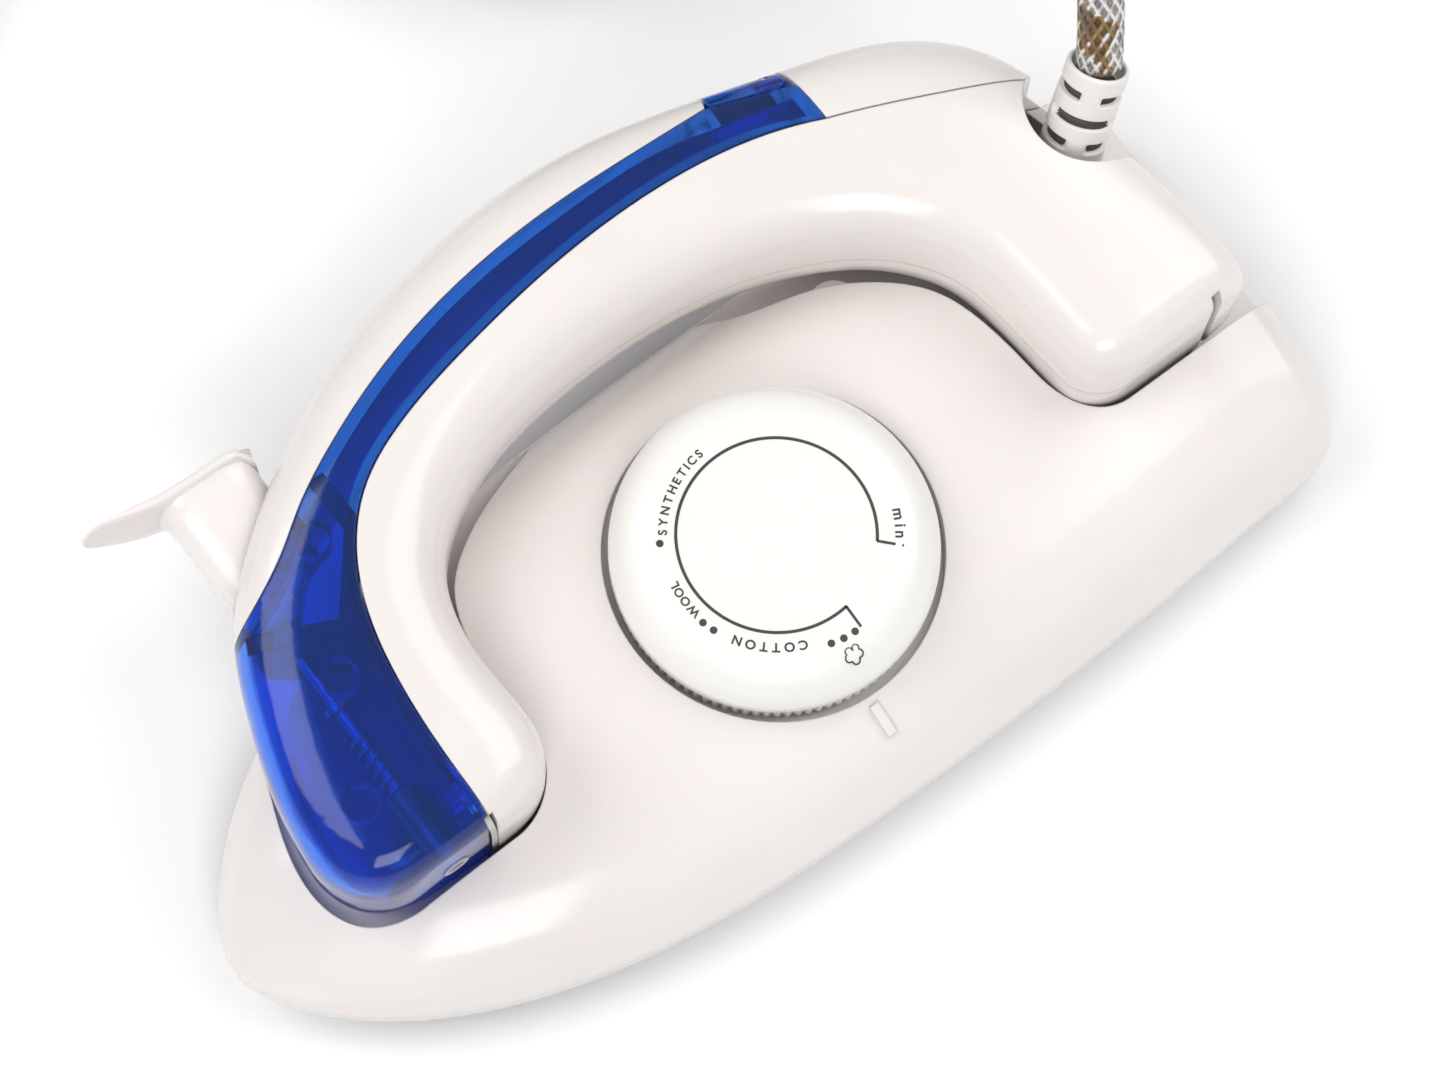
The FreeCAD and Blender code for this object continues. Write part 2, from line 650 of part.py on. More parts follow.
def inlet_tube():
    """Brass pipe from the grommet to the front wall of the steam chamber."""
    x, top, level = size("valve_x"), size("recess_floor") - 3, 8.0
    wall = CHAMBER[1] + 3
    corner = V(x, 0, level)
    solid = rod(1.3, (x, 0, level), (x, 0, top)).fuse([Part.makeSphere(1.3, corner),
                                                       rod(1.3, (wall, 0, level), (x, 0, level))])
    bore = rod(0.8, (x, 0, level), (x, 0, top + 1)).fuse([Part.makeSphere(0.8, corner),
                                                          rod(0.8, (wall - 1, 0, level), (x, 0, level))])
    return solid.cut(bore)


def body_screws():
    """Three groups: shell to heat skirt, soleplate to heat skirt, hinge ears to the recess floor."""
    shell = [screw_shape(x, y, 4.0, 1.3, 11, 2.9, 1.7, 1) for x, y in BOSSES]
    plate = [screw_shape(x, y, size("skirt_bottom"), 1.45, 3.6, 2.8, 1.8, -1) for x, y in PLATE_SCREWS]
    ears = []
    for x in (size("rear_ear_x"), size("front_ear_x")):
        ears.append(screw_shape(x + EAR_SCREW[0], EAR_SCREW[1], size("recess_floor") - 3.2, 1.25, 2.3, 2.2, 1.3, 1))
    keep_feature("shell_screws", Part.makeCompound(shell))
    keep_feature("plate_screws", Part.makeCompound(plate))
    keep_feature("ear_screws", Part.makeCompound(ears))


# ---------------------------------------------------------------- dial pieces

def dial_cap():
    body = new_body("dial_cap")
    rim, top, low = size("dial_radius"), size("dial_top"), size("dial_rim")
    sketch = new_sketch(body, "XZ_Plane", "cap_profile")
    flat, curve = 18.2, 7.1
    rise = top - low
    shoulder = Part.BSplineCurve()
    shoulder.interpolate([V(flat, rise, 0), V(flat + 0.45 * curve, rise - 0.9, 0),
                          V(flat + 0.82 * curve, rise - 3.4, 0), V(rim, 1.2, 0)])
    sketch.addGeometry(Part.LineSegment(V(0, rise, 0), V(flat, rise, 0)), False)
    sketch.addGeometry(shoulder, False)
    for start, end in (((rim, 1.2), (rim, 0)), ((rim, 0), (rim - 2, 0)), ((rim - 2, 0), (rim - 2, 1.2)),
                       ((rim - 2, 1.2), (flat, rise - 2)), ((flat, rise - 2), (4, rise - 2)),
                       ((4, rise - 2), (4, -6)), ((4, -6), (0, -6)), ((0, -6), (0, rise))):
        sketch.addGeometry(Part.LineSegment(V(start[0], start[1], 0), V(end[0], end[1], 0)), False)
    feature = body.newObject("PartDesign::Revolution", "cap")
    feature.Profile = sketch
    feature.ReferenceAxis = (sketch, ["V_Axis"])
    feature.Angle = 360
    doc.recompute()
    socket = new_sketch(body, "XY_Plane", "spindle_socket", offset=(0, 0, -6))
    add_circle(socket, 0, 0, 2.6)
    pocket(body, socket, "socket", "8", reverse=True)
    place(body, "Sizes.dial_x", 0, "Sizes.dial_rim")


KNURLS = 96


def dial_skirt():
    """The knurled ring under the cap."""
    crest, root = size("dial_radius") - 0.35, size("dial_radius") - 0.85
    points = []
    for i in range(KNURLS):
        for share, radius in ((0.0, root), (0.35, crest), (0.65, crest)):
            angle = 2 * math.pi * (i + share) / KNURLS
            points.append(V(radius * math.cos(angle), radius * math.sin(angle), 0))
    points.append(points[0])
    high = size("dial_rim") - size("dial_skirt_bottom")
    ring = Part.Face(Part.makePolygon(points)).extrude(V(0, 0, high))
    ring = ring.cut(rod(size("dial_radius") - 2.4, (0, 0, -1), (0, 0, high + 1)))
    ring.translate(V(size("dial_x"), 0, size("dial_skirt_bottom")))
    return ring


def dial_spindle():
    body = new_body("dial_spindle")
    sketch = new_sketch(body, "XY_Plane", "spindle_section", offset=(0, 0, 0))
    add_circle(sketch, 0, 0, 2.5)
    pad(body, sketch, "spindle", "19.5")
    place(body, "Sizes.dial_x", 0, 10)


def dial_clip():
    body = new_body("dial_clip")
    sketch = new_sketch(body, "XY_Plane", "clip_outline")
    add_circle(sketch, 0, 0, 2.52)
    add_circle(sketch, 0, 0, 5.5)
    pad(body, sketch, "clip", "0.8")
    place(body, "Sizes.dial_x", 0, 19.4)


# ---------------------------------------------------------------- handle pieces

NOTCH = (-85.4, -24.5, 10.2)                      # middle and radius of the cord notch
BOOT_TOP = V(-88.5, -27.0, 52.0)
BOOT_AXIS = V(-0.503, -0.331, 0.798)
BOOT_LENGTH = 24.5
GRIP_POSTS = [(46.2, -14.0), (17.0, -43.0), (-26.0, -44.0), (-65.0, -27.0), (-66.5, 4.0)]


def handle_slots():
    """Everything that is cut out of the grip halves and the tank for the hinge ears."""
    y, z, half = size("hinge_y"), size("hinge_z"), size("ear_half_width") + 0.6
    cuts = []
    for x in (size("rear_ear_x"), size("front_ear_x")):
        cuts.append(box(x - 0.8, x + 0.8, y - half, 20, 5, z + half))
    return cuts


def boot_hole():
    start = BOOT_TOP - BOOT_AXIS * (BOOT_LENGTH + 0.3)
    tube = Part.makeCylinder(5.5, BOOT_LENGTH + 20, start, BOOT_AXIS)
    return [tube, rod(NOTCH[2], (NOTCH[0], NOTCH[1], 31), (NOTCH[0], NOTCH[1], TALL))]


def pin(x0, x1, play):
    return rod(size("pin_radius") + play, (x0, size("hinge_y"), size("hinge_z")),
               (x1, size("hinge_y"), size("hinge_z")))


REAR_PIN = (-87.0, -73.0)
FRONT_PIN = (45.0, 56.6)


def grip_half(form, hollow, left):
    """One half of the white handle moulding; the left half is on top while the handle is folded."""
    z0, z1 = (MID + 0.06, TALL) if left else (0, MID - 0.06)
    shell = form.cut(hollow).common(grip_zone(GAP)).common(box(-120, 120, -90, 40, z0, z1))
    solid = form.common(grip_zone(GAP))
    extra = []
    for x, y in GRIP_POSTS:
        extra.append(rod(3.2, (x, y, 17), (x, y, 49)).common(solid).common(box(-120, 120, -90, 40, z0, z1)))
    if left:
        y, z = size("hinge_y"), size("hinge_z")
        for x0, x1 in ((-88.5, size("rear_ear_x") - 0.8), (size("rear_ear_x") + 0.8, -72.5),
                       (44.0, size("front_ear_x") - 0.8)):
            extra.append(box(x0, x1, y - 5, y + 5, z0, z + 11).common(solid))
    shell = shell.fuse(extra)
    cuts = handle_slots() + boot_hole() + [pin(REAR_PIN[0], REAR_PIN[1], 0.02), pin(FRONT_PIN[0], FRONT_PIN[1], 0.02)]
    for x, y in GRIP_POSTS:
        if left:
            cuts.append(rod(1.45, (x, y, 30), (x, y, 41)))
        else:
            cuts.append(rod(1.6, (x, y, 10), (x, y, 40)))
            cuts.append(rod(3.3, (x, y, 10), (x, y, 21.5)))
    cuts.append(rod(5.4, (-76.9, -19.4, 33.6), (-68.0, -13.0, 33.6)))
    return biggest(shell.cut(cuts).removeSplitter())


LID_PIN = (-48.8, -58.0)
LUG_Z = (26.0, 38.2)                             # lower faces of the two lugs that hold the lid pin
TANK_BOSSES = [(49.6, -38.6), (58.6, -19.5), (67.1, -2.3)]
FILLER = (-47.9, -38.9, 28.0, 38.0)              # x0, x1, z0, z1 of the filler neck


def tank_form(form):
    return form.common(tank_zone(GAP))


def water_tank(form, hollow):
    y, z = size("hinge_y"), size("hinge_z")
    solid = tank_form(form)
    space = hollow.common(tank_zone(1.8))
    bosses = [box(54.2, 57.4, y - 4, y + 4, z - 4.6, z + 5).common(solid)]
    bosses += [box(LID_PIN[0] - 1.0, LID_PIN[0] + 1.0, LID_PIN[1] - 1, LID_PIN[1] + 6, z0, z0 + 1.8).common(form)
               for z0 in LUG_Z]
    for x, along in TANK_BOSSES:
        bosses.append(rod(2.7, (x, along, 41), (x, along, 49)).common(solid))
    tank = solid.cut(space).fuse(bosses)
    cuts = handle_slots() + [pin(FRONT_PIN[0], FRONT_PIN[1], 0.02)]
    cuts.append(rod(2.25, (size("valve_x"), 5, MID), (size("valve_x"), 20, MID)))
    cuts.append(box(48.5, 66.5, -46, -32.2, 26.5, 39.5))
    x0, x1, z0, z1 = FILLER
    cuts.append(box(x0, x1, -60, -52.4, z0, z1))
    cuts.append(lid_pin(0.02))
    return biggest(tank.cut(cuts).removeSplitter())


def tank_partition(hollow):
    """Bent inner wall that keeps the button's room dry."""
    line = [(43.9, -49.0), (43.6, -36.6), (53.4, -24.6), (70.0, -33.0)]
    walls = []
    for (xa, ya), (xb, yb) in zip(line, line[1:]):
        long = math.hypot(xb - xa, yb - ya)
        slab = Part.makeBox(long, 1.4, 40, V(0, -0.7, 14))
        slab.rotate(V(0, 0, 0), V(0, 0, 1), math.degrees(math.atan2(yb - ya, xb - xa)))
        slab.translate(V(xa, ya, 0))
        walls.append(slab)
    wall = walls[0].fuse(walls[1:]).removeSplitter().common(hollow.common(tank_zone(2.0)))
    bosses = [rod(2.8, (x, y, 40.9), (x, y, 49)) for x, y in TANK_BOSSES]
    return biggest(wall.cut([rod(1.35, (size("valve_x"), -40, MID), (size("valve_x"), 0, MID))] + bosses))


def top_cover(form, hollow):
    shell = form.cut(hollow).common(top_cover_zone(GAP))
    return biggest(shell.cut(box(48.6, 65.0, -70, -30, 26.6, 39.4)).removeSplitter())


def rear_cover(form, hollow):
    shell = form.cut(hollow).common(rear_cover_zone(GAP))
    return biggest(shell.cut(boot_hole()).removeSplitter())


def lid_pin(play):
    return rod(0.7 + play, (LID_PIN[0], LID_PIN[1], 25.6), (LID_PIN[0], LID_PIN[1], 40.4))


def filler_lid(form, hollow):
    zone = lid_zone(0.25)
    shell = form.cut(hollow).common(zone)
    sheet_floor = form.common(zone).common(lid_floor())
    lid = shell.fuse(sheet_floor)
    x, y = LID_PIN
    eye = rod(1.5, (x, y, MID - 7), (x, y, MID + 7)).common(form.common(zone))
    reach = 3.62                                     # from the pin to the tank, less a clearance
    foot = (x + 0.376 * reach, y + 0.927 * reach)
    corner = prism([[foot, (foot[0] + 1.1, foot[1] + 2.8)], [(-52.5, -50.5), (-52.5, y)], [(x, y)]], 0, TALL)
    corner = corner.cut(rod(reach, (x, y, 0), (x, y, TALL)))
    lugs = [box(x - 4, x + 1.6, y - 5, y + 8, z0 - 0.3, z0 + 2.1) for z0 in LUG_Z]
    swing = rod(10.3, (x, y, 0), (x, y, TALL))       # clears the top cover while it opens
    return biggest(lid.common(swing).fuse(eye).cut([rod(0.75, (x, y, 5), (x, y, 60)), corner] + lugs).removeSplitter())


def lid_floor():
    slope = (LID_REAR[1] - LID_FRONT[1]) / (LID_REAR[0] - LID_FRONT[0])
    def level(x, depth):
        return (x, LID_FRONT[1] + slope * (x - LID_FRONT[0]) - depth)
    return prism([[level(-30, 0.2), level(-60, 0.2)], [level(-60, 1.7), level(-30, 1.7)]], 0, TALL)


def filler_plug():
    slope = (LID_REAR[1] - LID_FRONT[1]) / (LID_REAR[0] - LID_FRONT[0])
    x0, x1, z0, z1 = FILLER
    def level(x, depth):
        return (x, LID_FRONT[1] + slope * (x - LID_FRONT[0]) - depth)
    a, b = x0 + 0.5, x1 - 1.2
    return prism([[level(b, 0.22), level(a, 0.22)], [level(a, -1.5), level(b, -1.5)]], z0 + 0.3, z1 - 0.3)


def steam_button():
    """Thumb paddle on an oblong stem that slides into the front of the handle."""
    paddle = prism([
        [(76.0, -62.0), (70.5, -61.2), (63.0, -59.9), (56.0, -59.5), (50.5, -59.6)],
        [(48.9, -57.4)],
        [(48.9, -55.2), (64.7, -55.2)],
        [(64.7, -56.2), (67.5, -57.5), (71.5, -59.7), (76.2, -61.4)],
    ], MID - 7.5, MID + 7.5)
    stem = box(48.9, 64.7, -56, -38.4, MID - 6, MID + 6)
    uprights = [edge for edge in stem.Edges if abs(edge.tangentAt(edge.FirstParameter).y) > 0.99]
    stem = stem.makeFillet(4.5, uprights)
    return paddle.fuse(stem).removeSplitter()


def plunger_rod():
    x, radius = size("valve_x"), size("rod_radius")
    wedge = prism([[(52.0, -38.3), (63.5, -38.3)], [(62.5, -33.6), (57.5, -32.4)]], MID - 4, MID + 4)
    stem = rod(radius, (x, -34, MID), (x, 4.5, MID))
    collar = rod(2.4, (x, -18.8, MID), (x, -17.7, MID))
    return wedge.fuse([stem, collar]).removeSplitter()


def return_spring():
    """Wire helix round the rod, at the length that it has with the button pressed."""
    x, turns, wire, mean = size("valve_x"), 6, 0.5, 2.0
    start, end = -13.8, -2.6
    helix = Part.makeHelix((end - start) / turns, end - start, mean)
    section = Part.Wire(Part.makeCircle(wire / 2, V(mean, 0, 0), V(0, 1, 0)))
    coil = Part.Wire(helix.Edges).makePipeShell([section], True, True)
    coil.rotate(V(0, 0, 0), V(1, 0, 0), -90)
    coil.translate(V(x, start, MID))
    return coil


def valve_parts():
    """Housing, sliding seal and nozzle of the drip valve at the end of the front foot."""
    x = size("valve_x")
    for label, outer, inner, y0, y1 in (("valve_housing", 2.8, 1.9, -2.0, 8.1),
                                        ("valve_seal", 1.85, 1.1, 0.0, 1.5),
                                        ("drip_nozzle", 2.2, 1.3, 8.2, 11.5)):
        body = new_body(label)
        revolve(body, label + "_turn", [(inner, 0), (outer, 0), (outer, y1 - y0), (inner, y1 - y0)])
        place(body, "Sizes.valve_x", y0, "Sizes.mid_height", (0, 1, 0))


def handle_screws():
    return Part.makeCompound([screw_shape(x, y, 21.5, 1.4, 18.5, 3.0, 2.2, 1) for x, y in GRIP_POSTS])


def cord_clamp():
    start = BOOT_TOP - BOOT_AXIS * BOOT_LENGTH
    ahead = V(-70.5, -12.5, 33.0) - start
    ahead.normalize()
    at = start + ahead * 4.6
    return Part.makeCylinder(5.2, 2.5, at, ahead).cut(Part.makeCylinder(2.7, 2.5, at, ahead))


def cord_boot():
    """Bend relief: a root plug and a ribbed sleeve."""
    start = BOOT_TOP - BOOT_AXIS * BOOT_LENGTH
    sleeve = Part.makeCone(5.3, 5.0, BOOT_LENGTH, start, BOOT_AXIS)
    grooves = []
    for i in range(4):
        at = start + BOOT_AXIS * (BOOT_LENGTH - 3.6 - 4.1 * i)
        ring = Part.makeCylinder(7, 1.1, at, BOOT_AXIS).cut(Part.makeCylinder(4.3, 1.1, at, BOOT_AXIS))
        grooves.append(ring)
    return sleeve.cut(grooves)


def inner_lead():
    """The lead inside the rear leg, from the boot to the hinge."""
    start = BOOT_TOP - BOOT_AXIS * BOOT_LENGTH
    first = rod(2.6, (start.x, start.y, start.z), (-70.5, -12.5, 33.0))
    ball = Part.makeSphere(2.6, V(-70.5, -12.5, 33.0))
    second = rod(2.6, (-70.5, -12.5, 33.0), (-71.5, -4.0, 30.0))
    return first.fuse([ball, second]).removeSplitter()


# ---------------------------------------------------------------- mains lead

ROUTE = [(-88.5, -27.0, 52.0), (-93.8, -34.6, 66.3), (-98.5, -50.1, 78.1), (-99.9, -69.7, 81.9),
         (-100.1, -88.9, 76.4), (-99.9, -103.4, 63.4), (-100.1, -112.4, 49.0), (-100.0, -125.4, 38.1),
         (-99.9, -141.4, 32.3), (-97.1, -158.3, 28.0)]
PLUG_ROUTE = [(-60.4, -183.1, 3.6), (-38.0, -182.6, 3.7), (-16.0, -178.5, 5.0), (2.0, -172.0, 11.0),
              (18.0, -168.7, 13.0)]
PLUG_HEADING = V(1, 0, 0)
SPLIT = 4                       # the lead rides with the handle up to the run after this point


def lead_path(points):
    """Straight runs joined by tangent arcs: the edges, run and arc in turn, and the arc radii."""
    vectors = [V(*point) for point in points]
    edges, radii = [], []
    start = vectors[0]
    for before, here, after in zip(vectors, vectors[1:], vectors[2:]):
        enter, leave = here - before, after - here
        turn = enter.getAngle(leave)
        back = 0.45 * min(enter.Length, leave.Length)
        radii.append(back / math.tan(turn / 2))
        enter.normalize()
        leave.normalize()
        inward = leave - enter
        inward.normalize()
        first, last = here - enter * back, here + leave * back
        middle = here + inward * (radii[-1] / math.cos(turn / 2) - radii[-1])
        edges.append(Part.makeLine(start, first))
        edges.append(Part.Arc(first, middle, last).toShape())
        start = last
    edges.append(Part.makeLine(start, vectors[-1]))
    return edges, radii


def tube(edges, radius):
    path = Part.Wire(edges)
    start, ahead = edges[0].Vertexes[0].Point, edges[0].Vertexes[1].Point
    section = Part.Wire(Part.makeCircle(radius, start, ahead - start))
    solid = path.makePipeShell([section], True, True)
    ideal = math.pi * radius ** 2 * path.Length
    if abs(solid.Volume - ideal) > 0.01 * ideal:
        raise RuntimeError("the lead's tube has the wrong volume")
    return solid


def cord_pieces():
    radius = size("cord_diameter") / 2
    edges, radii = lead_path(ROUTE)
    start, end = (vertex.Point for vertex in edges[2 * SPLIT].Vertexes)
    middle = (start + end) * 0.5
    lead = edges[:2 * SPLIT] + [Part.makeLine(start, middle)]
    rest = [Part.makeLine(middle, end)] + edges[2 * SPLIT + 1:]
    last, last_radii = lead_path(PLUG_ROUTE)
    for name, run in (("cord_lead", lead), ("mains_cord", rest), ("plug_lead", last)):
        print(name, "length", round(sum(edge.Length for edge in run), 1))
        keep_feature(name, tube(run, radius))
    print("lead radii", [round(item, 1) for item in radii + last_radii])
    centre = V(size("coil_x"), size("coil_y"), 0)
    outer, inner = size("coil_radius") + size("coil_width") / 2, size("coil_radius") - size("coil_width") / 2
    ring = Part.makeCylinder(outer, size("coil_height"), centre)
    ring = ring.cut(Part.makeCylinder(inner, size("coil_height"), centre))
    keep_feature("cord_coil", ring)
    strap = box(centre.x - 3, centre.x + 3, centre.y + inner - 0.8, centre.y + outer + 0.8,
                0, size("coil_height") + 0.8)
    keep_feature("coil_tie", strap.cut(ring))


# distance from the lead's end, half width, half height and corner radius
PLUG_SECTIONS = [(16.0, 9.0, 8.0, 7.0), (24.0, 14.0, 11.5, 8.0), (34.0, 18.0, 13.0, 9.0), (52.0, 18.0, 13.0, 9.0)]
PLUG_LENGTH = 52.0
PIN_OFFSET = 9.5                 # half of the distance between the plug pins
PIN_REACH = 19.0


def plug_frame():
    """Where the plug stands: its own +Z runs along the heading and its Y stays level."""
    side = V(-PLUG_HEADING.y, PLUG_HEADING.x, 0)
    turn = FreeCAD.Rotation(V(0, 0, 1).negative(), side, PLUG_HEADING, "ZYX")
    return FreeCAD.Placement(V(*PLUG_ROUTE[-1]), turn)


def rounded_wire(z, half_width, half_height, corner):
    """Rounded rectangle round the Z axis: half height along X and half width along Y."""
    edges = []
    centres = [(half_height - corner, half_width - corner), (corner - half_height, half_width - corner),
               (corner - half_height, corner - half_width), (half_height - corner, corner - half_width)]
    points = []
    for i, (x, y) in enumerate(centres):
        for degrees in (90 * i, 90 * i + 45, 90 * i + 90):
            angle = math.radians(degrees)
            points.append(V(x + corner * math.cos(angle), y + corner * math.sin(angle), z))
    for i in range(4):
        edges.append(Part.Arc(points[3 * i], points[3 * i + 1], points[3 * i + 2]).toShape())
        edges.append(Part.makeLine(points[3 * i + 2], points[(3 * i + 3) % 12]))
    return Part.Wire(edges)


def plug_body():
    """Two-pin plug: a tapering sleeve round the lead and a flattened grip."""
    grip = Part.makeLoft([rounded_wire(*section) for section in PLUG_SECTIONS], True, True)
    plug = grip.fuse(Part.makeCone(4.6, 6.4, PLUG_SECTIONS[0][0]))
    plug.Placement = plug_frame()
    return plug


def plug_pins():
    pins = []
    for side in (-PIN_OFFSET, PIN_OFFSET):
        tip = PLUG_LENGTH + PIN_REACH - 1.5
        pins.append(rod(2.4, (0, side, PLUG_LENGTH), (0, side, tip)).fuse(
            Part.makeCone(2.4, 1.5, 1.5, V(0, side, tip))))
    group = Part.makeCompound(pins)
    group.Placement = plug_frame()
    return group


# ---------------------------------------------------------------- build

def build():
    keep_feature("body_shell", body_shell())
    soleplate()
    chamber_plate("chamber_gasket", 10.0, "0.8")
    chamber_plate("chamber_cover", 10.8, "1.2")
    heating_element()
    heat_skirt()
    keep_feature("rear_hinge_ear", hinge_ear(size("rear_ear_x")))
    keep_feature("front_hinge_ear", hinge_ear(size("front_ear_x")))
    body_screws()
    terminal_block()
    thermal_fuse()
    keep_feature("inlet_seal", inlet_seal())
    keep_feature("inlet_tube", inlet_tube())
    keep_feature("thermostat", thermostat())
    keep_feature("supply_wires", supply_wires())
    dial_cap()
    keep_feature("dial_skirt", dial_skirt())
    dial_spindle()
    dial_clip()
    form = handle_form(0)
    hollow = handle_form(size("handle_wall"))
    keep_feature("handle_left", grip_half(form, hollow, True))
    keep_feature("handle_right", grip_half(form, hollow, False))
    keep_feature("water_tank", water_tank(form, handle_form(1.8)))
    keep_feature("tank_partition", tank_partition(handle_form(2.0)))
    keep_feature("top_cover", top_cover(form, hollow))
    keep_feature("rear_cover", rear_cover(form, hollow))
    keep_feature("filler_lid", filler_lid(form, hollow))
    keep_feature("filler_plug", filler_plug())
    keep_feature("steam_button", steam_button())
    keep_feature("plunger_rod", plunger_rod())
    keep_feature("return_spring", return_spring())
    keep_feature("rear_hinge_pin", pin(REAR_PIN[0], REAR_PIN[1], 0))
    keep_feature("front_hinge_pin", pin(FRONT_PIN[0], FRONT_PIN[1], 0))
    keep_feature("lid_pin", lid_pin(0))
    keep_feature("handle_screws", handle_screws())
    valve_parts()
    keep_feature("cord_clamp", cord_clamp())
    keep_feature("cord_boot", cord_boot())
    keep_feature("inner_lead", inner_lead())
    cord_pieces()
    keep_feature("plug_body", plug_body())
    keep_feature("plug_pins", plug_pins())


def export():
    doc.recompute()
    for item in doc.Objects:
        if "Invalid" in item.State or "Error" in item.State:
            raise RuntimeError("%s is %s" % (item.Label, item.State))
    os.makedirs("parts", exist_ok=True)
    for piece in PIECES:
        shape = piece.Shape
        if shape.isNull() or not shape.isValid():
            raise RuntimeError("%s has a bad shape" % piece.Label)
        shape.exportStep("parts/%s.step" % piece.Label)
        print(piece.Label, len(shape.Solids), round(shape.Volume / 1000, 2))


build()
export()
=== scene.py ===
import json
import math

import bpy
import numpy as np
from mathutils import Matrix, Vector


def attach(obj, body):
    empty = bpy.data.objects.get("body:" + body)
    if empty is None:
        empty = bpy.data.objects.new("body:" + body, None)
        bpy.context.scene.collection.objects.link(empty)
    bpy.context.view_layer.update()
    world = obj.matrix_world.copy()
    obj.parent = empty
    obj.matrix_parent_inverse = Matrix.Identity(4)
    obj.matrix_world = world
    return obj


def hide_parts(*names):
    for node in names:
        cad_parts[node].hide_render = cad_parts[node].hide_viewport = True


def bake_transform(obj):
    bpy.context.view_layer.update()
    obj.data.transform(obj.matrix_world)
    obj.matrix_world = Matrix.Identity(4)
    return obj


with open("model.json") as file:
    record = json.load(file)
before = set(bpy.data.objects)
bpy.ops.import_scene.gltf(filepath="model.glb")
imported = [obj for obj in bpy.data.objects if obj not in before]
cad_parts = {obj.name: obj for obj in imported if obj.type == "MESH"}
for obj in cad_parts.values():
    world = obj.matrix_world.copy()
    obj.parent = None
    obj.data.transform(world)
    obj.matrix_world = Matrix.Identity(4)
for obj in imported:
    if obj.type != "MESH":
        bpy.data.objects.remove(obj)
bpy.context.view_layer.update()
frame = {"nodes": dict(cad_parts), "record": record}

MM = 0.001                      # all shapes below are written in millimetres
NODES = frame["nodes"]


# ------------------------------------------------------------------ camera

LENS = 112.1                    # focal length; the sensor is 36 mm wide
CAMERA_PLACE = (121.4, 123.5, 688.8)
CAMERA_RIGHT = (-0.79804, 0.60179, 0.03136)
CAMERA_UP = (-0.57498, -0.77601, 0.25924)


def make_camera():
    """Looks down on the iron from above and to the left of its nose, from 0.7 m, a little rolled."""
    camera = bpy.data.objects.new("camera", bpy.data.cameras.new("camera"))
    bpy.context.scene.collection.objects.link(camera)
    camera.data.lens = LENS
    camera.data.sensor_width = 36.0
    camera.data.clip_start = 0.01
    right = Vector(CAMERA_RIGHT)
    up = Vector(CAMERA_UP)
    back = right.cross(up)
    turn = Matrix((right, up, back)).transposed().to_4x4()
    camera.matrix_world = Matrix.Translation(Vector(CAMERA_PLACE) * MM) @ turn
    bpy.context.scene.camera = camera


# ------------------------------------------------------------------ helpers

def link(obj):
    bpy.context.scene.collection.objects.link(obj)
    return obj


def mesh_piece(name, points, faces, material, smooth=True):
    """A new object from points in millimetres."""
    mesh = bpy.data.meshes.new(name)
    mesh.from_pydata([tuple(float(c) * MM for c in point) for point in points], [], faces)
    mesh.validate()
    if smooth:
        mesh.polygons.foreach_set("use_smooth", [True] * len(mesh.polygons))
    mesh.materials.append(material)
    return link(bpy.data.objects.new(name, mesh))


def tube_grid(rings):
    """Points and faces of a closed skin over rings that all have the same count of points."""
    count = len(rings[0])
    points = [point for ring in rings for point in ring]
    faces = []
    for row in range(len(rings) - 1):
        for column in range(count):
            after = (column + 1) % count
            faces.append((row * count + column, row * count + after,
                          (row + 1) * count + after, (row + 1) * count + column))
    last = (len(rings) - 1) * count
    faces.append(tuple(range(count - 1, -1, -1)))
    faces.append(tuple(range(last, last + count)))
    return points, faces


# ------------------------------------------------------------------ materials

def new_material(name, color, roughness, **sockets):
    """A Principled material and its node tree; sockets are set by their names."""
    material = bpy.data.materials.new(name)
    material.use_nodes = True
    tree = material.node_tree
    shader = tree.nodes["Principled BSDF"]
    shader.inputs["Base Color"].default_value = (*color, 1)
    shader.inputs["Roughness"].default_value = roughness
    for socket, value in sockets.items():
        shader.inputs[socket.replace("_", " ")].default_value = value
    return material, tree, shader


def noise(tree, scale, detail=3.0, vector=None):
    node = tree.nodes.new("ShaderNodeTexNoise")
    node.inputs["Scale"].default_value = scale
    node.inputs["Detail"].default_value = detail
    if vector is None:
        vector = tree.nodes.new("ShaderNodeTexCoord").outputs["Object"]
    tree.links.new(vector, node.inputs["Vector"])
    return node.outputs["Fac"]


def ramp(tree, factor, low, high, from_min=0.3, from_max=0.7):
    """Maps a factor to a colour between low and high."""
    node = tree.nodes.new("ShaderNodeValToRGB")
    node.color_ramp.elements[0].position = from_min
    node.color_ramp.elements[1].position = from_max
    node.color_ramp.elements[0].color = (*low, 1)
    node.color_ramp.elements[1].color = (*high, 1)
    tree.links.new(factor, node.inputs["Fac"])
    return node.outputs["Color"]


def map_range(tree, factor, low, high):
    node = tree.nodes.new("ShaderNodeMapRange")
    node.inputs["To Min"].default_value = low
    node.inputs["To Max"].default_value = high
    tree.links.new(factor, node.inputs["Value"])
    return node.outputs["Result"]


def bump(tree, shader, height, distance, strength=1.0):
    node = tree.nodes.new("ShaderNodeBump")
    node.inputs["Distance"].default_value = distance
    node.inputs["Strength"].default_value = strength
    tree.links.new(height, node.inputs["Height"])
    tree.links.new(node.outputs["Normal"], shader.inputs["Normal"])


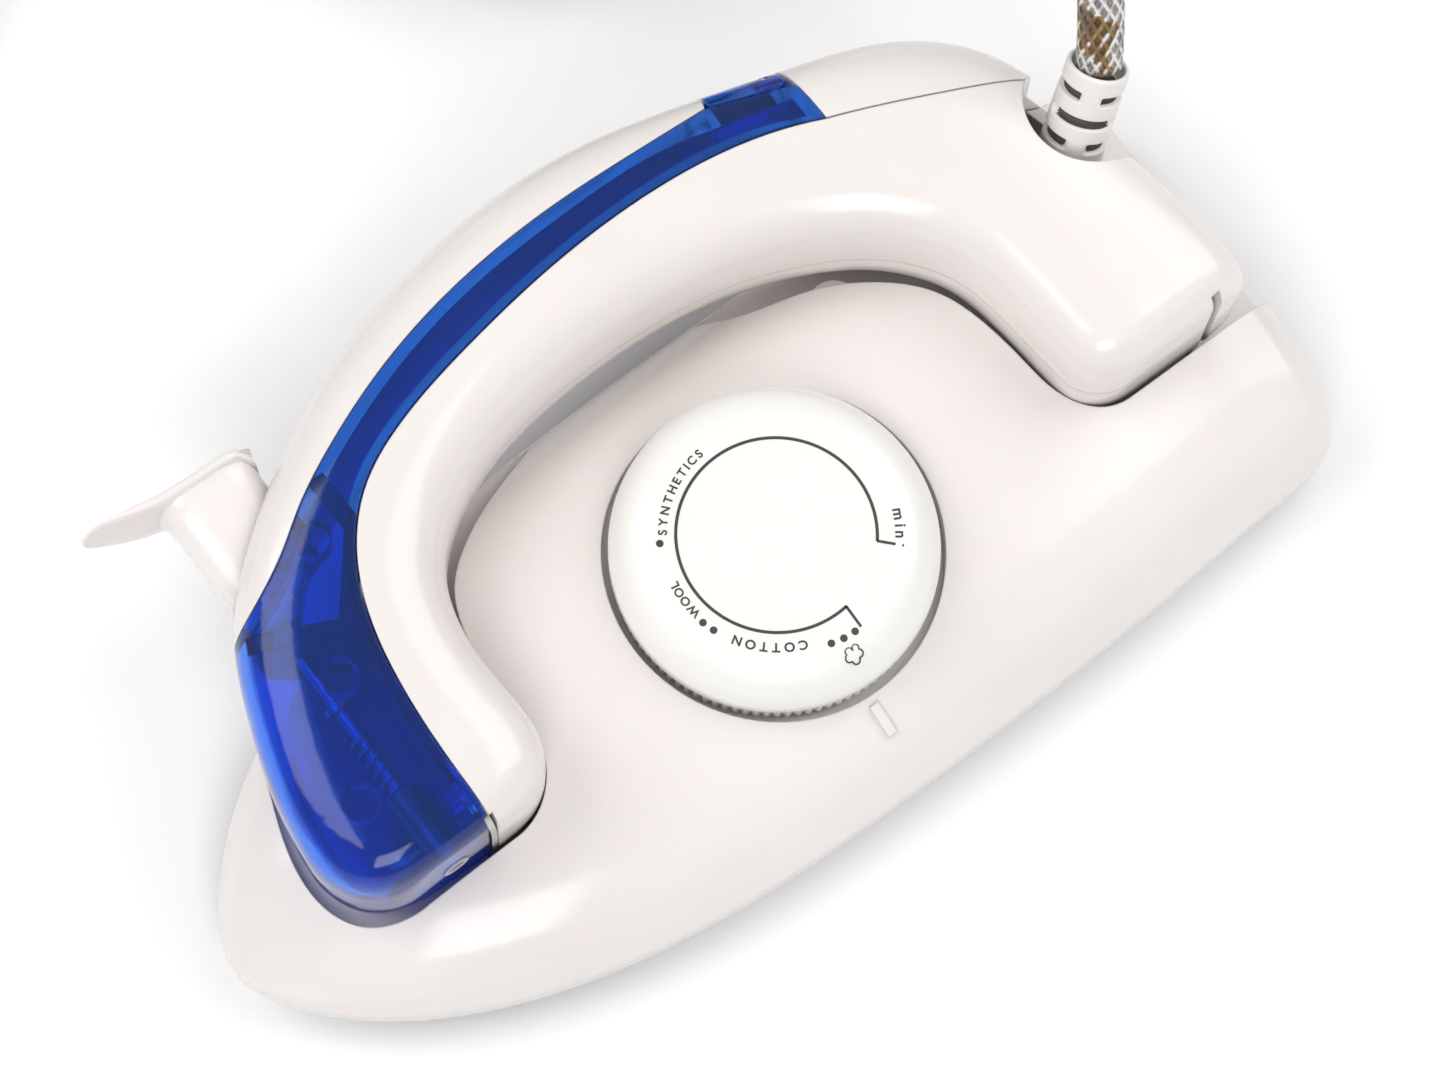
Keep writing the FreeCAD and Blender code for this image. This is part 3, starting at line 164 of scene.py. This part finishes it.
def plastic(name, low, high, rough_low, rough_high, grain=900.0, depth=0.00001, edge=0.0, **sockets):
    """Moulded plastic: faint colour drift, uneven gloss, a fine moulded grain and soft edges."""
    material, tree, shader = new_material(name, high, rough_high, **sockets)
    tree.links.new(ramp(tree, noise(tree, 28.0), low, high), shader.inputs["Base Color"])
    tree.links.new(map_range(tree, noise(tree, 160.0), rough_low, rough_high), shader.inputs["Roughness"])
    bump(tree, shader, noise(tree, grain, 2.0), depth, 0.5)
    if edge:
        rounded = tree.nodes.new("ShaderNodeBevel")
        rounded.samples = 4
        rounded.inputs["Radius"].default_value = edge * MM
        relief = shader.inputs["Normal"].links[0].from_node
        tree.links.new(rounded.outputs["Normal"], relief.inputs["Normal"])
    return material


def metal(name, low, high, rough_low, rough_high, stretch=(1, 1, 1)):
    """Metal with fine marks that run along the axis that is stretched least."""
    material, tree, shader = new_material(name, high, rough_high, Metallic=1.0)
    mapping = tree.nodes.new("ShaderNodeMapping")
    mapping.inputs["Scale"].default_value = stretch
    tree.links.new(tree.nodes.new("ShaderNodeTexCoord").outputs["Object"], mapping.inputs["Vector"])
    marks = noise(tree, 350.0, 4.0, mapping.outputs["Vector"])
    tree.links.new(ramp(tree, marks, low, high), shader.inputs["Base Color"])
    tree.links.new(map_range(tree, marks, rough_low, rough_high), shader.inputs["Roughness"])
    bump(tree, shader, marks, 0.000015, 0.4)
    return material


WHITE = plastic("white_plastic", (0.755, 0.706, 0.683), (0.79, 0.744, 0.721), 0.13, 0.19,
                edge=0.45, Subsurface_Weight=0.06, Subsurface_Scale=0.004)
MILKY = plastic("milky_plastic", (0.820, 0.807, 0.775), (0.832, 0.820, 0.790), 0.20, 0.24,
                edge=0.35, Subsurface_Weight=0.15, Subsurface_Scale=0.006)
SOFT_WHITE = plastic("soft_white_plastic", (0.74, 0.72, 0.70), (0.79, 0.77, 0.75), 0.38, 0.5, grain=1500.0,
                     depth=0.00003)
DARK = plastic("dark_plastic", (0.012, 0.012, 0.013), (0.022, 0.022, 0.024), 0.45, 0.6, depth=0.00003)
SILICONE = plastic("silicone_rubber", (0.34, 0.35, 0.37), (0.42, 0.43, 0.45), 0.5, 0.62)
BLACK_RUBBER = plastic("seal_rubber", (0.010, 0.010, 0.010), (0.02, 0.02, 0.02), 0.5, 0.7)
CERAMIC = plastic("ceramic", (0.68, 0.64, 0.55), (0.75, 0.72, 0.63), 0.6, 0.75, depth=0.00004)
SOLE = metal("polished_aluminium", (0.60, 0.61, 0.62), (0.70, 0.71, 0.72), 0.12, 0.26, (0.04, 1, 1))
STEEL = metal("bright_steel", (0.48, 0.48, 0.47), (0.60, 0.60, 0.59), 0.22, 0.36, (1, 1, 0.1))
HEATER = metal("heater_sheath", (0.16, 0.15, 0.14), (0.26, 0.24, 0.22), 0.45, 0.65)
BRASS = metal("brass", (0.62, 0.42, 0.16), (0.74, 0.54, 0.24), 0.2, 0.36)
BLUE = plastic("blue_tank", (0.012, 0.17, 0.90), (0.025, 0.22, 0.95), 0.05, 0.10,
               edge=0.5, Transmission_Weight=0.93, IOR=1.46, Specular_IOR_Level=0.35)
# painted shade: a dark indigo for the tank's partition and flange, standing in for the darkness seen through
# the blue tank
TANK_PAINTED_SHADE = plastic("tank_wall_painted_shade", (0.006, 0.004, 0.075), (0.012, 0.010, 0.12), 0.2, 0.3, Transmission_Weight=0.2)
# painted shade: a dark warm colour for the bottoms of the slots in the bend relief
SLOT_PAINTED_SHADE = plastic("slot_painted_shade", (0.07, 0.052, 0.045), (0.11, 0.085, 0.07), 0.6, 0.75)
INK = plastic("grey_ink", (0.035, 0.030, 0.030), (0.055, 0.048, 0.046), 0.45, 0.6)

SLOT_MATERIALS = {
    "white_shell": WHITE, "dial_plastic": MILKY, "blue_tank": BLUE, "sole_aluminium": SOLE,
    "chamber_steel": STEEL, "heater_tube": HEATER, "heat_plastic": DARK, "steel": STEEL, "brass": BRASS,
    "ceramic": CERAMIC, "silicone": SILICONE, "seal_rubber": BLACK_RUBBER, "wire_sleeve": CERAMIC,
    "cord_braid": SOFT_WHITE, "boot_plastic": SOFT_WHITE, "plug_plastic": SOFT_WHITE, "tie_plastic": DARK,
}


def paint_nodes():
    """Every CAD node that stays gets the procedural material of its slot; the tank's partition then gets a
    painted dark shade instead.
    """
    for subpart in frame["record"]["subparts"]:
        node = NODES[subpart["node"]]
        node.data.materials.clear()
        node.data.materials.append(SLOT_MATERIALS[subpart["material_slot"]])
    # the tank's partition is coloured with the painted dark shade
    partition = NODES["tank_partition"].data.materials
    partition.clear()
    partition.append(TANK_PAINTED_SHADE)


# ------------------------------------------------------------------ mains lead

LEAD_RADIUS = 3.6
LEAD_ROUTE = [(-88.5, -27.0, 52.0), (-93.8, -34.6, 66.3), (-98.5, -50.1, 78.1), (-99.9, -69.7, 81.9),
              (-100.1, -88.9, 76.4), (-99.9, -103.4, 63.4), (-100.1, -112.4, 49.0), (-100.0, -125.4, 38.1),
              (-99.9, -141.4, 32.3), (-97.1, -158.3, 28.0)]
PLUG_ROUTE = [(-60.4, -183.1, 3.6), (-38.0, -182.6, 3.7), (-16.0, -178.5, 5.0), (2.0, -172.0, 11.0),
              (18.0, -168.7, 13.0)]
COIL_CENTRE = (-60.4, -143.5)
COIL_STEP = 24                  # degrees between the coil's points
COIL_START, COIL_END = 202, 2790
SHIFT = 60                      # degrees in which a turn moves to the next place
PITCH = 2 * LEAD_RADIUS
OUTER_TURN = 39.6               # radius of the outer turns; the inner ones are a pitch smaller
TOP_LAYER = 7 * LEAD_RADIUS
INWARD, OUTWARD, DOWN = (480, 1920), (1200, 2640), (840, 1560, 2280)
HULL_SHARE = 0.978              # a quadratic spline runs this much inside a ring of such points


def ease(value, start, end):
    share = min(1.0, max(0.0, (value - start) / (end - start)))
    return share * share * (3 - 2 * share)


def coil_points():
    """Four layers of an outer and an inner turn, from the top layer down to the floor."""
    points = []
    angle = COIL_START + COIL_STEP
    while angle < COIL_END - COIL_STEP / 2:
        inward = sum(ease(angle, start, start + SHIFT) for start in INWARD)
        outward = sum(ease(angle, start, start + SHIFT) for start in OUTWARD)
        down = sum(ease(angle, start, start + SHIFT) for start in DOWN)
        radius = (OUTER_TURN - PITCH * (inward - outward)) / HULL_SHARE
        turned = math.radians(angle)
        points.append((COIL_CENTRE[0] + radius * math.cos(turned),
                       COIL_CENTRE[1] + radius * math.sin(turned), TOP_LAYER - PITCH * down))
        angle += COIL_STEP
    return points


def lead_line():
    """Points read from the lead's NURBS spline, in metres."""
    curve = bpy.data.curves.new("lead_line", "CURVE")
    curve.dimensions = "3D"
    curve.resolution_u = 12
    spline = curve.splines.new("NURBS")
    points = LEAD_ROUTE + coil_points() + PLUG_ROUTE
    spline.points.add(len(points) - 1)
    for target, point in zip(spline.points, points):
        target.co = (*[c * MM for c in point], 1)
    spline.order_u = 3
    spline.use_endpoint_u = True
    carrier = link(bpy.data.objects.new("lead_line", curve))
    bpy.context.view_layer.update()
    mesh = bpy.data.meshes.new_from_object(carrier.evaluated_get(bpy.context.evaluated_depsgraph_get()))
    line = np.array([vertex.co for vertex in mesh.vertices])
    bpy.data.objects.remove(carrier)
    return line


def resample(line, step):
    """The same line with points an even step apart."""
    runs = np.linalg.norm(np.diff(line, axis=0), axis=1)
    along = np.concatenate([[0], np.cumsum(runs)])
    count = int(along[-1] / step)
    wanted = np.linspace(0, along[-1], count + 1)
    return np.stack([np.interp(wanted, along, line[:, axis]) for axis in range(3)], axis=1), along[-1]


def side_vectors(line):
    """Two vectors across the line at each point, which do not twist along it."""
    tangents = np.gradient(line, axis=0)
    tangents /= np.linalg.norm(tangents, axis=1)[:, None]
    side = np.cross(tangents[0], (0, 0, 1.0))
    sides = []
    for tangent in tangents:
        side = side - tangent * np.dot(side, tangent)
        side = side / np.linalg.norm(side)
        sides.append(side)
    sides = np.array(sides)
    return sides, np.cross(tangents, sides)


LEAD_STEP = 0.0014              # metres between rings of points
BRAID_AROUND = 28               # points in a ring
BRAID_STRANDS = 12
BRAID_LAY = 0.0032              # metres along the lead in which a strand moves one strand's width round it


def braided_lead():
    """The whole lead as one tube, its braid in the material."""
    line, length = resample(lead_line(), LEAD_STEP)
    side, other = side_vectors(line)
    rings = []
    step = length / (len(line) - 1)
    for row, centre in enumerate(line):
        ring = []
        for column in range(BRAID_AROUND):
            angle = 2 * math.pi * column / BRAID_AROUND
            outward = side[row] * math.cos(angle) + other[row] * math.sin(angle)
            ring.append((centre + outward * LEAD_RADIUS * MM) / MM)
        rings.append(ring)
    points, faces = tube_grid(rings)
    lead = mesh_piece("braided_lead", points, faces, braid_material())
    layer = lead.data.uv_layers.new(name="braid")
    for polygon in lead.data.polygons:
        for corner in polygon.loop_indices:
            vertex = lead.data.loops[corner].vertex_index
            row, column = divmod(vertex, BRAID_AROUND)
            if column == 0 and any(lead.data.loops[c].vertex_index % BRAID_AROUND > BRAID_AROUND / 2
                                   for c in polygon.loop_indices):
                column = BRAID_AROUND
            layer.data[corner].uv = (column / BRAID_AROUND, row * step / BRAID_LAY)
    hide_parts("cord_lead", "mains_cord", "cord_coil", "plug_lead")
    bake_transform(lead)


def calculated(tree, operation, first, second=0.0):
    """One Math node; each input is a number or a socket."""
    node = tree.nodes.new("ShaderNodeMath")
    node.operation = operation
    for socket, value in zip(node.inputs, (first, second)):
        if isinstance(value, (int, float)):
            socket.default_value = value
        else:
            tree.links.new(value, socket)
    return node.outputs["Value"]


def strand_height(tree, around, along, slope):
    """How high one family of strands lies."""
    across = calculated(tree, "ADD", calculated(tree, "MULTIPLY", around, BRAID_STRANDS),
                        calculated(tree, "MULTIPLY", along, slope))
    return calculated(tree, "COSINE", calculated(tree, "MULTIPLY", across, 2 * math.pi))


def braid_material():
    """White and silver yarns with patches of gold-brown ones, and painted shade where a strand dips under its
    neighbours.
    """
    material, tree, shader = new_material("braid", (0.7, 0.68, 0.65), 0.36, Sheen_Weight=0.2, Metallic=0.15)
    place = tree.nodes.new("ShaderNodeSeparateXYZ")
    tree.links.new(tree.nodes.new("ShaderNodeTexCoord").outputs["UV"], place.inputs["Vector"])
    one = strand_height(tree, place.outputs["X"], place.outputs["Y"], 1.0)
    two = strand_height(tree, place.outputs["X"], place.outputs["Y"], -1.0)
    upper = calculated(tree, "MAXIMUM", one, two)
    dye = calculated(tree, "ADD", noise(tree, 190.0, 2.0),
                     calculated(tree, "MULTIPLY", calculated(tree, "SUBTRACT", one, two), 0.03))
    tone = tree.nodes.new("ShaderNodeValToRGB")
    tree.links.new(dye, tone.inputs["Fac"])
    stops = tone.color_ramp.elements
    stops[0].position = 0.36
    stops[0].color = (0.36, 0.36, 0.38, 1)
    stops[1].position = 0.43
    stops[1].color = (0.80, 0.78, 0.75, 1)
    for position, color in ((0.53, (0.78, 0.75, 0.70, 1)), (0.56, (0.36, 0.21, 0.06, 1)),
                            (0.68, (0.16, 0.085, 0.03, 1))):
        stop = stops.new(position)
        stop.color = color
    # painted shade: the colour is multiplied darker where a strand lies low, in the hollows between the
    # strands on top
    shaded = tree.nodes.new("ShaderNodeMix")
    shaded.data_type = "RGBA"
    shaded.blend_type = "MULTIPLY"
    shaded.inputs[0].default_value = 1.0
    tree.links.new(tone.outputs["Color"], shaded.inputs[6])
    tree.links.new(ramp(tree, upper, (0.35, 0.33, 0.31), (1, 1, 1), 0.15, 0.75), shaded.inputs[7])
    tree.links.new(shaded.outputs[2], shader.inputs["Base Color"])
    bump(tree, shader, upper, 0.00028)
    return material


# ------------------------------------------------------------------ bend relief of the lead

BOOT_ROOT = Vector((-76.18, -18.89, 32.45))
BOOT_AXIS = Vector((-0.503, -0.331, 0.798)).normalized()
BOOT_LENGTH = 24.5
BOOT_AROUND = 96                # points in a ring
BOOT_STEP = 0.125               # between rings of points
BOOT_RADIUS, BOOT_TAPER = 5.25, 0.3
SLOT_COUNT, SLOT_SPACING, SLOT_DEPTH = 5, 4.3, 1.45
FIRST_SLOT = 3.9                # from the free end to the middle of the first slot
SLOT_REACH = 4.3                # faces nearer the axis than this are inside a slot
RIM_RADIUS, RIM_ROUNDING = 4.94, 0.5
MOUTH = ((0.1, 4.25), (0.5, 4.15), (2.6, 4.05), (2.7, 3.6))     # depth and radius of the opening


def boot_radius(along, turned):
    """Tapered sleeve with slots between its ribs; bridges that alternate join one rib to the next."""
    radius = BOOT_RADIUS - BOOT_TAPER * along / BOOT_LENGTH
    for index in range(SLOT_COUNT):
        middle = BOOT_LENGTH - FIRST_SLOT - SLOT_SPACING * index
        slot_depth = ease(1.0 - abs(along - middle) / 1.0, 0.0, 0.5)
        bridge = ease(math.cos(2 * turned + index * math.pi), 0.6, 0.85)
        radius -= SLOT_DEPTH * slot_depth * (1 - bridge)
    return radius


def bend_relief():
    """The ribbed sleeve where the lead leaves the handle."""
    side = BOOT_AXIS.orthogonal().normalized()
    other = BOOT_AXIS.cross(side)
    below_rim = int((BOOT_LENGTH - RIM_ROUNDING) / BOOT_STEP)
    stations = [(step * BOOT_STEP, None) for step in range(below_rim)]
    stations += [(BOOT_LENGTH - RIM_ROUNDING + RIM_ROUNDING * math.sin(turn),
                  RIM_RADIUS - RIM_ROUNDING + RIM_ROUNDING * math.cos(turn))
                 for turn in (0.0, 0.4, 0.8, 1.2, math.pi / 2)]
    stations += [(BOOT_LENGTH - depth, radius) for depth, radius in MOUTH]
    rings = []
    for along, fixed in stations:
        ring = []
        for step in range(BOOT_AROUND):
            turned = 2 * math.pi * step / BOOT_AROUND
            radius = fixed or boot_radius(along, turned)
            outward = side * math.cos(turned) + other * math.sin(turned)
            ring.append(BOOT_ROOT + BOOT_AXIS * along + outward * radius)
        rings.append(ring)
    points, faces = tube_grid(rings)
    sleeve = mesh_piece("bend_relief", points, faces, SOFT_WHITE)
    # the faces deep inside the slots get a second material, a painted dark shade
    sleeve.data.materials.append(SLOT_PAINTED_SHADE)
    for polygon in sleeve.data.polygons:
        from_root = polygon.center / MM - BOOT_ROOT
        along = from_root.dot(BOOT_AXIS)
        from_axis = (from_root - BOOT_AXIS * along).length
        if along < BOOT_LENGTH - MOUTH[-1][0] and from_axis < SLOT_REACH:
            polygon.material_index = 1
    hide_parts("cord_boot")
    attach(sleeve, "handle")


# ------------------------------------------------------------------ thumb paddle of the steam button

MID_HEIGHT = 33.0               # middle plane of the folded handle
PADDLE_BACK = [(48.7, -57.6), (50.3, -59.2), (53.0, -59.5), (57.0, -59.6), (63.0, -60.0), (68.0, -60.7),
               (72.0, -61.5), (76.4, -62.3)]
PAD_HALF_WIDTH = 7.5
TIP_START, TIP_LENGTH = 67.0, 9.45      # where the pad's round tip starts along X, and how far it runs
NECK_END, NECK_LENGTH = 52.5, 3.8
STEM_X, STEM_HALF_LENGTH, STEM_HALF_WIDTH = 56.8, 7.85, 5.95
STEM_SQUARENESS = 0.62


def power(value, exponent):
    """A power that keeps the sign."""
    return math.copysign(abs(value) ** exponent, value)


def paddle_ring(x):
    """Section of the thumb pad: rounded, and dished on the side where the thumb rests."""
    half_wide = PAD_HALF_WIDTH
    if x > TIP_START:
        half_wide *= math.sqrt(max(0.0004, 1 - ((x - TIP_START) / TIP_LENGTH) ** 2))
    if x < NECK_END:
        half_wide *= math.sqrt(max(0.0004, 1 - 0.55 * ((NECK_END - x) / NECK_LENGTH) ** 2))
    back = float(np.interp(x, [p[0] for p in PADDLE_BACK], [p[1] for p in PADDLE_BACK]))
    thick = 2.5 - 1.5 * ease(x, 62.0, 76.4)
    ring = []
    for step in range(48):
        turned = 2 * math.pi * step / 48
        z = half_wide * power(math.cos(turned), 0.75)
        hollow = 0.75 * ease(x, 52.0, 62.0) * (1 - ease(x, 70.0, 76.0)) * (1 - (z / half_wide) ** 2)
        ring.append((x, back + thick / 2 + thick / 2 * power(math.sin(turned), 0.6) + hollow, MID_HEIGHT + z))
    return ring


def stem_ring(y, grow):
    """Section of the oblong stem, wider where it runs out into the pad."""
    ring = []
    for step in range(64):
        turned = 2 * math.pi * step / 64
        ring.append((STEM_X + (STEM_HALF_LENGTH + grow) * power(math.cos(turned), STEM_SQUARENESS), y,
                     MID_HEIGHT + (STEM_HALF_WIDTH + grow) * power(math.sin(turned), STEM_SQUARENESS)))
    return ring


def thumb_paddle():
    """Pad and stem of the steam button."""
    stations = np.concatenate([np.linspace(48.72, 50.3, 10), np.linspace(50.6, 72.0, 60),
                               np.linspace(72.3, 76.42, 30)])
    pad_points, pad_faces = tube_grid([paddle_ring(float(x)) for x in stations])
    flare = [(-58.2, 1.1), (-57.4, 0.75), (-56.6, 0.42), (-55.8, 0.18), (-55.0, 0.05), (-54.0, 0.0)]
    rows = flare + [(float(y), 0.0) for y in np.linspace(-53.0, -38.6, 12)]
    stem_points, stem_faces = tube_grid([stem_ring(y, grow) for y, grow in rows])
    start = len(pad_points)
    faces = pad_faces + [tuple(index + start for index in face) for face in stem_faces]
    paddle = mesh_piece("thumb_paddle", pad_points + stem_points, faces, WHITE)
    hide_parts("steam_button")
    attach(paddle, "button")


# ------------------------------------------------------------------ flange inside the tank

FLANGE_LINE = [(43.8, -46.0), (43.6, -36.8), (53.2, -25.0), (66.8, -31.3)]
FLANGE_HEIGHTS = (44.0, 45.2)
FLANGE_HALF = 1.35              # half its width


def tank_flange():
    """Flange along the top of the bent partition, coloured with a painted dark shade so that it shows as dark
    bars through the tank.
    """
    line = [Vector(point) for point in FLANGE_LINE]
    rings = []
    for index, point in enumerate(line):
        before = (point - line[index - 1]).normalized() if index else (line[1] - point).normalized()
        after = (line[index + 1] - point).normalized() if index + 1 < len(line) else before
        ahead = (before + after).normalized()
        reach = FLANGE_HALF / max(0.5, ahead.dot(before))
        side = Vector((-ahead.y, ahead.x)) * reach
        low, high = FLANGE_HEIGHTS
        rings.append([(*(point + side), low), (*(point + side), high - 0.2), (*(point + side * 0.85), high),
                      (*(point - side * 0.85), high), (*(point - side), high - 0.2), (*(point - side), low)])
    points, faces = tube_grid(rings)
    flange = mesh_piece("tank_flange", points, faces, TANK_PAINTED_SHADE, smooth=False)
    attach(flange, "handle")


# ------------------------------------------------------------------ print on the dial

DIAL = (-7.5, 0.0, 37.5)        # middle of the dial's top face
FLAT_RADIUS = 18.2


def dial_height(radius):
    """Height of the dial's face at a radius."""
    past = max(0.0, radius - FLAT_RADIUS)
    return DIAL[2] - 0.05 * past - 0.072 * past * past


def on_dial(radius, degrees, lift):
    """The point on the dial's face at a radius and an angle, lifted above it."""
    turned = math.radians(degrees)
    return (DIAL[0] + radius * math.cos(turned), DIAL[1] + radius * math.sin(turned),
            dial_height(radius) + lift)


INK_LIFT = 0.045                # how far the print stands above the face
INK_SINK = -0.03


def ink_strip(path, width):
    """Points and faces of a flat strip of ink along (radius, degrees) points."""
    line = np.array([on_dial(radius, degrees, 0) for radius, degrees in path])
    ahead = np.gradient(line, axis=0)
    side = np.stack([-ahead[:, 1], ahead[:, 0]], axis=1)
    side /= np.linalg.norm(side, axis=1)[:, None]
    rings = []
    for point, out in zip(line, side):
        left, right = point[:2] + out * width / 2, point[:2] - out * width / 2
        rings.append([(*left, point[2] + INK_SINK), (*left, point[2] + INK_LIFT),
                      (*right, point[2] + INK_LIFT), (*right, point[2] + INK_SINK)])
    return tube_grid(rings)


def ink_dot(radius, degrees, size):
    """A round dot, a little domed."""
    x, y, _ = on_dial(radius, degrees, 0)
    rings = []
    for share, lift in ((1.0, INK_SINK), (1.0, 0.7 * INK_LIFT), (0.85, INK_LIFT), (0.3, 1.2 * INK_LIFT)):
        ring = []
        for step in range(32):
            turned = 2 * math.pi * step / 32
            px, py = x + size * share * math.cos(turned), y + size * share * math.sin(turned)
            out = math.hypot(px - DIAL[0], py - DIAL[1])
            ring.append((px, py, dial_height(out) + lift))
        rings.append(ring)
    return tube_grid(rings)


def letter_shapes(text, height):
    """Outline meshes of the letters, in millimetres, each with its width."""
    shapes = []
    for letter in text:
        curve = bpy.data.curves.new("letter", "FONT")
        curve.body = letter
        curve.size = height / 0.7
        curve.extrude = (INK_LIFT - INK_SINK) / 2
        curve.offset = 0.035 * height
        carrier = link(bpy.data.objects.new("letter", curve))
        bpy.context.view_layer.update()
        mesh = bpy.data.meshes.new_from_object(carrier.evaluated_get(bpy.context.evaluated_depsgraph_get()))
        points = np.array([vertex.co for vertex in mesh.vertices])
        left, right = points[:, 0].min(), points[:, 0].max()
        points[:, 0] -= (left + right) / 2
        shapes.append((points, [tuple(polygon.vertices) for polygon in mesh.polygons], right - left))
        bpy.data.objects.remove(carrier)
    return shapes


def curved_word(text, base_radius, first, last, height):
    """Letters along an arc, read clockwise, tops outward; first and last letters sit at these degrees."""
    shapes = letter_shapes(text, height)
    gaps = [0.0]
    for before, after in zip(shapes, shapes[1:]):
        gaps.append(gaps[-1] + before[2] / 2 + after[2] / 2 + 0.22 * height)
    pieces = []
    for (points, faces, _), along in zip(shapes, gaps):
        turned = math.radians(first + (last - first) * along / gaps[-1])
        out = np.array([math.cos(turned), math.sin(turned)])
        ahead = np.array([out[1], -out[0]])
        placed = []
        for u, v, w in points:
            spot = np.array(DIAL[:2]) + ahead * u + out * (base_radius + v)
            reach = math.hypot(spot[0] - DIAL[0], spot[1] - DIAL[1])
            placed.append((spot[0], spot[1], dial_height(reach) + (INK_LIFT + INK_SINK) / 2 + w))
        pieces.append((placed, faces))
    return pieces


def polar(spot):
    """Radius and degrees of a point about the dial's middle."""
    x, y = spot[0] - DIAL[0], spot[1] - DIAL[1]
    return math.hypot(x, y), math.degrees(math.atan2(y, x))


PUFF_PLACE = (21.5, 85.4)       # radius and degrees of the cloud's middle
# x, y and radius of each round of the cloud
PUFF_ROUNDS = [(0.95, 0.1, 0.62), (0.15, 0.85, 0.66), (-0.85, 0.35, 0.6), (-0.75, -0.65, 0.55),
               (0.45, -0.75, 0.6)]


def puff_outline():
    """Outline of a small cloud, the sign for steam."""
    middle = np.array(on_dial(*PUFF_PLACE, 0)[:2])
    outline = []
    for step in range(73):
        turned = 2 * math.pi * step / 72
        ray = np.array([math.cos(turned), math.sin(turned)])
        reach = 0.5
        for x, y, size in PUFF_ROUNDS:
            along = ray[0] * x + ray[1] * y
            off = x * x + y * y - along * along
            if along > 0 and off < size * size:
                reach = max(reach, along + math.sqrt(size * size - off))
        spot = middle + ray * reach * 0.95
        outline.append(polar(spot))
    return outline


# Places on the dial are (radius, degrees), with 0 degrees towards the nose.
RING_RADIUS, RING_START, RING_SWEEP = 15.15, 139.7, 316.6
RING_STEPS = 160
TICKS = [[(15.1, 139.7), (17.2, 139.0), (19.2, 138.4)], [(15.0, 96.3), (17.0, 95.4), (18.9, 94.7)]]
DOTS = [(17.6, -32.0), (17.6, 14.1), (17.6, 20.5), (18.6, 78.9), (18.8, 85.1), (18.9, 91.2)]
RING_WIDTH, TICK_WIDTH, PUFF_WIDTH, DOT_RADIUS = 0.48, 0.42, 0.24, 0.58
# word, radius of its base line, degrees of its first and last letters, letter height
WORDS = [("SYNTHETICS", 16.5, -37.6, -84.0, 1.3), ("WOOL", 16.6, 6.8, -9.6, 1.3),
         ("COTTON", 16.8, 66.0, 33.0, 1.4), ("min", 17.9, 153.5, 143.6, 1.7)]


def dial_print():
    """The scale of the dial: an open ring with end ticks, dots, fabric names and the steam sign."""
    ring = [(RING_RADIUS, RING_START + RING_SWEEP * step / RING_STEPS) for step in range(RING_STEPS + 1)]
    pieces = [ink_strip(ring, RING_WIDTH)]
    pieces += [ink_strip(tick, TICK_WIDTH) for tick in TICKS]
    pieces += [ink_dot(radius, degrees, DOT_RADIUS) for radius, degrees in DOTS]
    pieces.append(ink_strip(puff_outline(), PUFF_WIDTH))
    for word in WORDS:
        pieces += curved_word(*word)
    points, faces = [], []
    for part, loops in pieces:
        start = len(points)
        points += part
        faces += [tuple(index + start for index in loop) for loop in loops]
    ink = mesh_piece("dial_print", points, faces, INK, smooth=False)
    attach(ink, "dial")


# ------------------------------------------------------------------ lights and floor

FLOOR_HALF = 1600.0
FLOOR_LEVEL = -0.05
WORLD_STRENGTH = 0.44
# name, place, target, width and power of each light
LIGHTS = [("key_light", (430, -420, 700), (0, 0, 10), 620, 3.7),
          ("fill_light", (330, 480, 620), (0, 0, 10), 420, 2.6),
          ("right_light", (-520, 60, 640), (-60, 0, 10), 600, 2.8)]


def make_stage():
    """Pale floor, an even white surround and three soft lights."""
    material, tree, shader = new_material("floor_paper", (0.93, 0.93, 0.93), 0.7)
    tree.links.new(ramp(tree, noise(tree, 3.0), (0.91, 0.91, 0.91), (0.94, 0.94, 0.94)),
                   shader.inputs["Base Color"])
    corners = [(x * FLOOR_HALF, y * FLOOR_HALF, FLOOR_LEVEL) for x, y in ((-1, -1), (1, -1), (1, 1), (-1, 1))]
    floor = mesh_piece("floor", corners, [(0, 1, 2, 3)], material)
    world = bpy.data.worlds.new("studio")
    world.use_nodes = True
    world.node_tree.nodes["Background"].inputs["Color"].default_value = (1, 1, 1, 1)
    world.node_tree.nodes["Background"].inputs["Strength"].default_value = WORLD_STRENGTH
    bpy.context.scene.world = world
    for light in LIGHTS:
        add_light(*light)
    bpy.context.scene.view_settings.view_transform = "Standard"


def add_light(name, place, target, size, power):
    data = bpy.data.lights.new(name, "AREA")
    data.size = size * MM
    data.energy = power
    lamp = link(bpy.data.objects.new(name, data))
    lamp.location = Vector(place) * MM
    lamp.rotation_euler = (Vector(target) - Vector(place)).to_track_quat("-Z", "Y").to_euler()


make_camera()
paint_nodes()
braided_lead()
bend_relief()
thumb_paddle()
tank_flange()
dial_print()
make_stage()
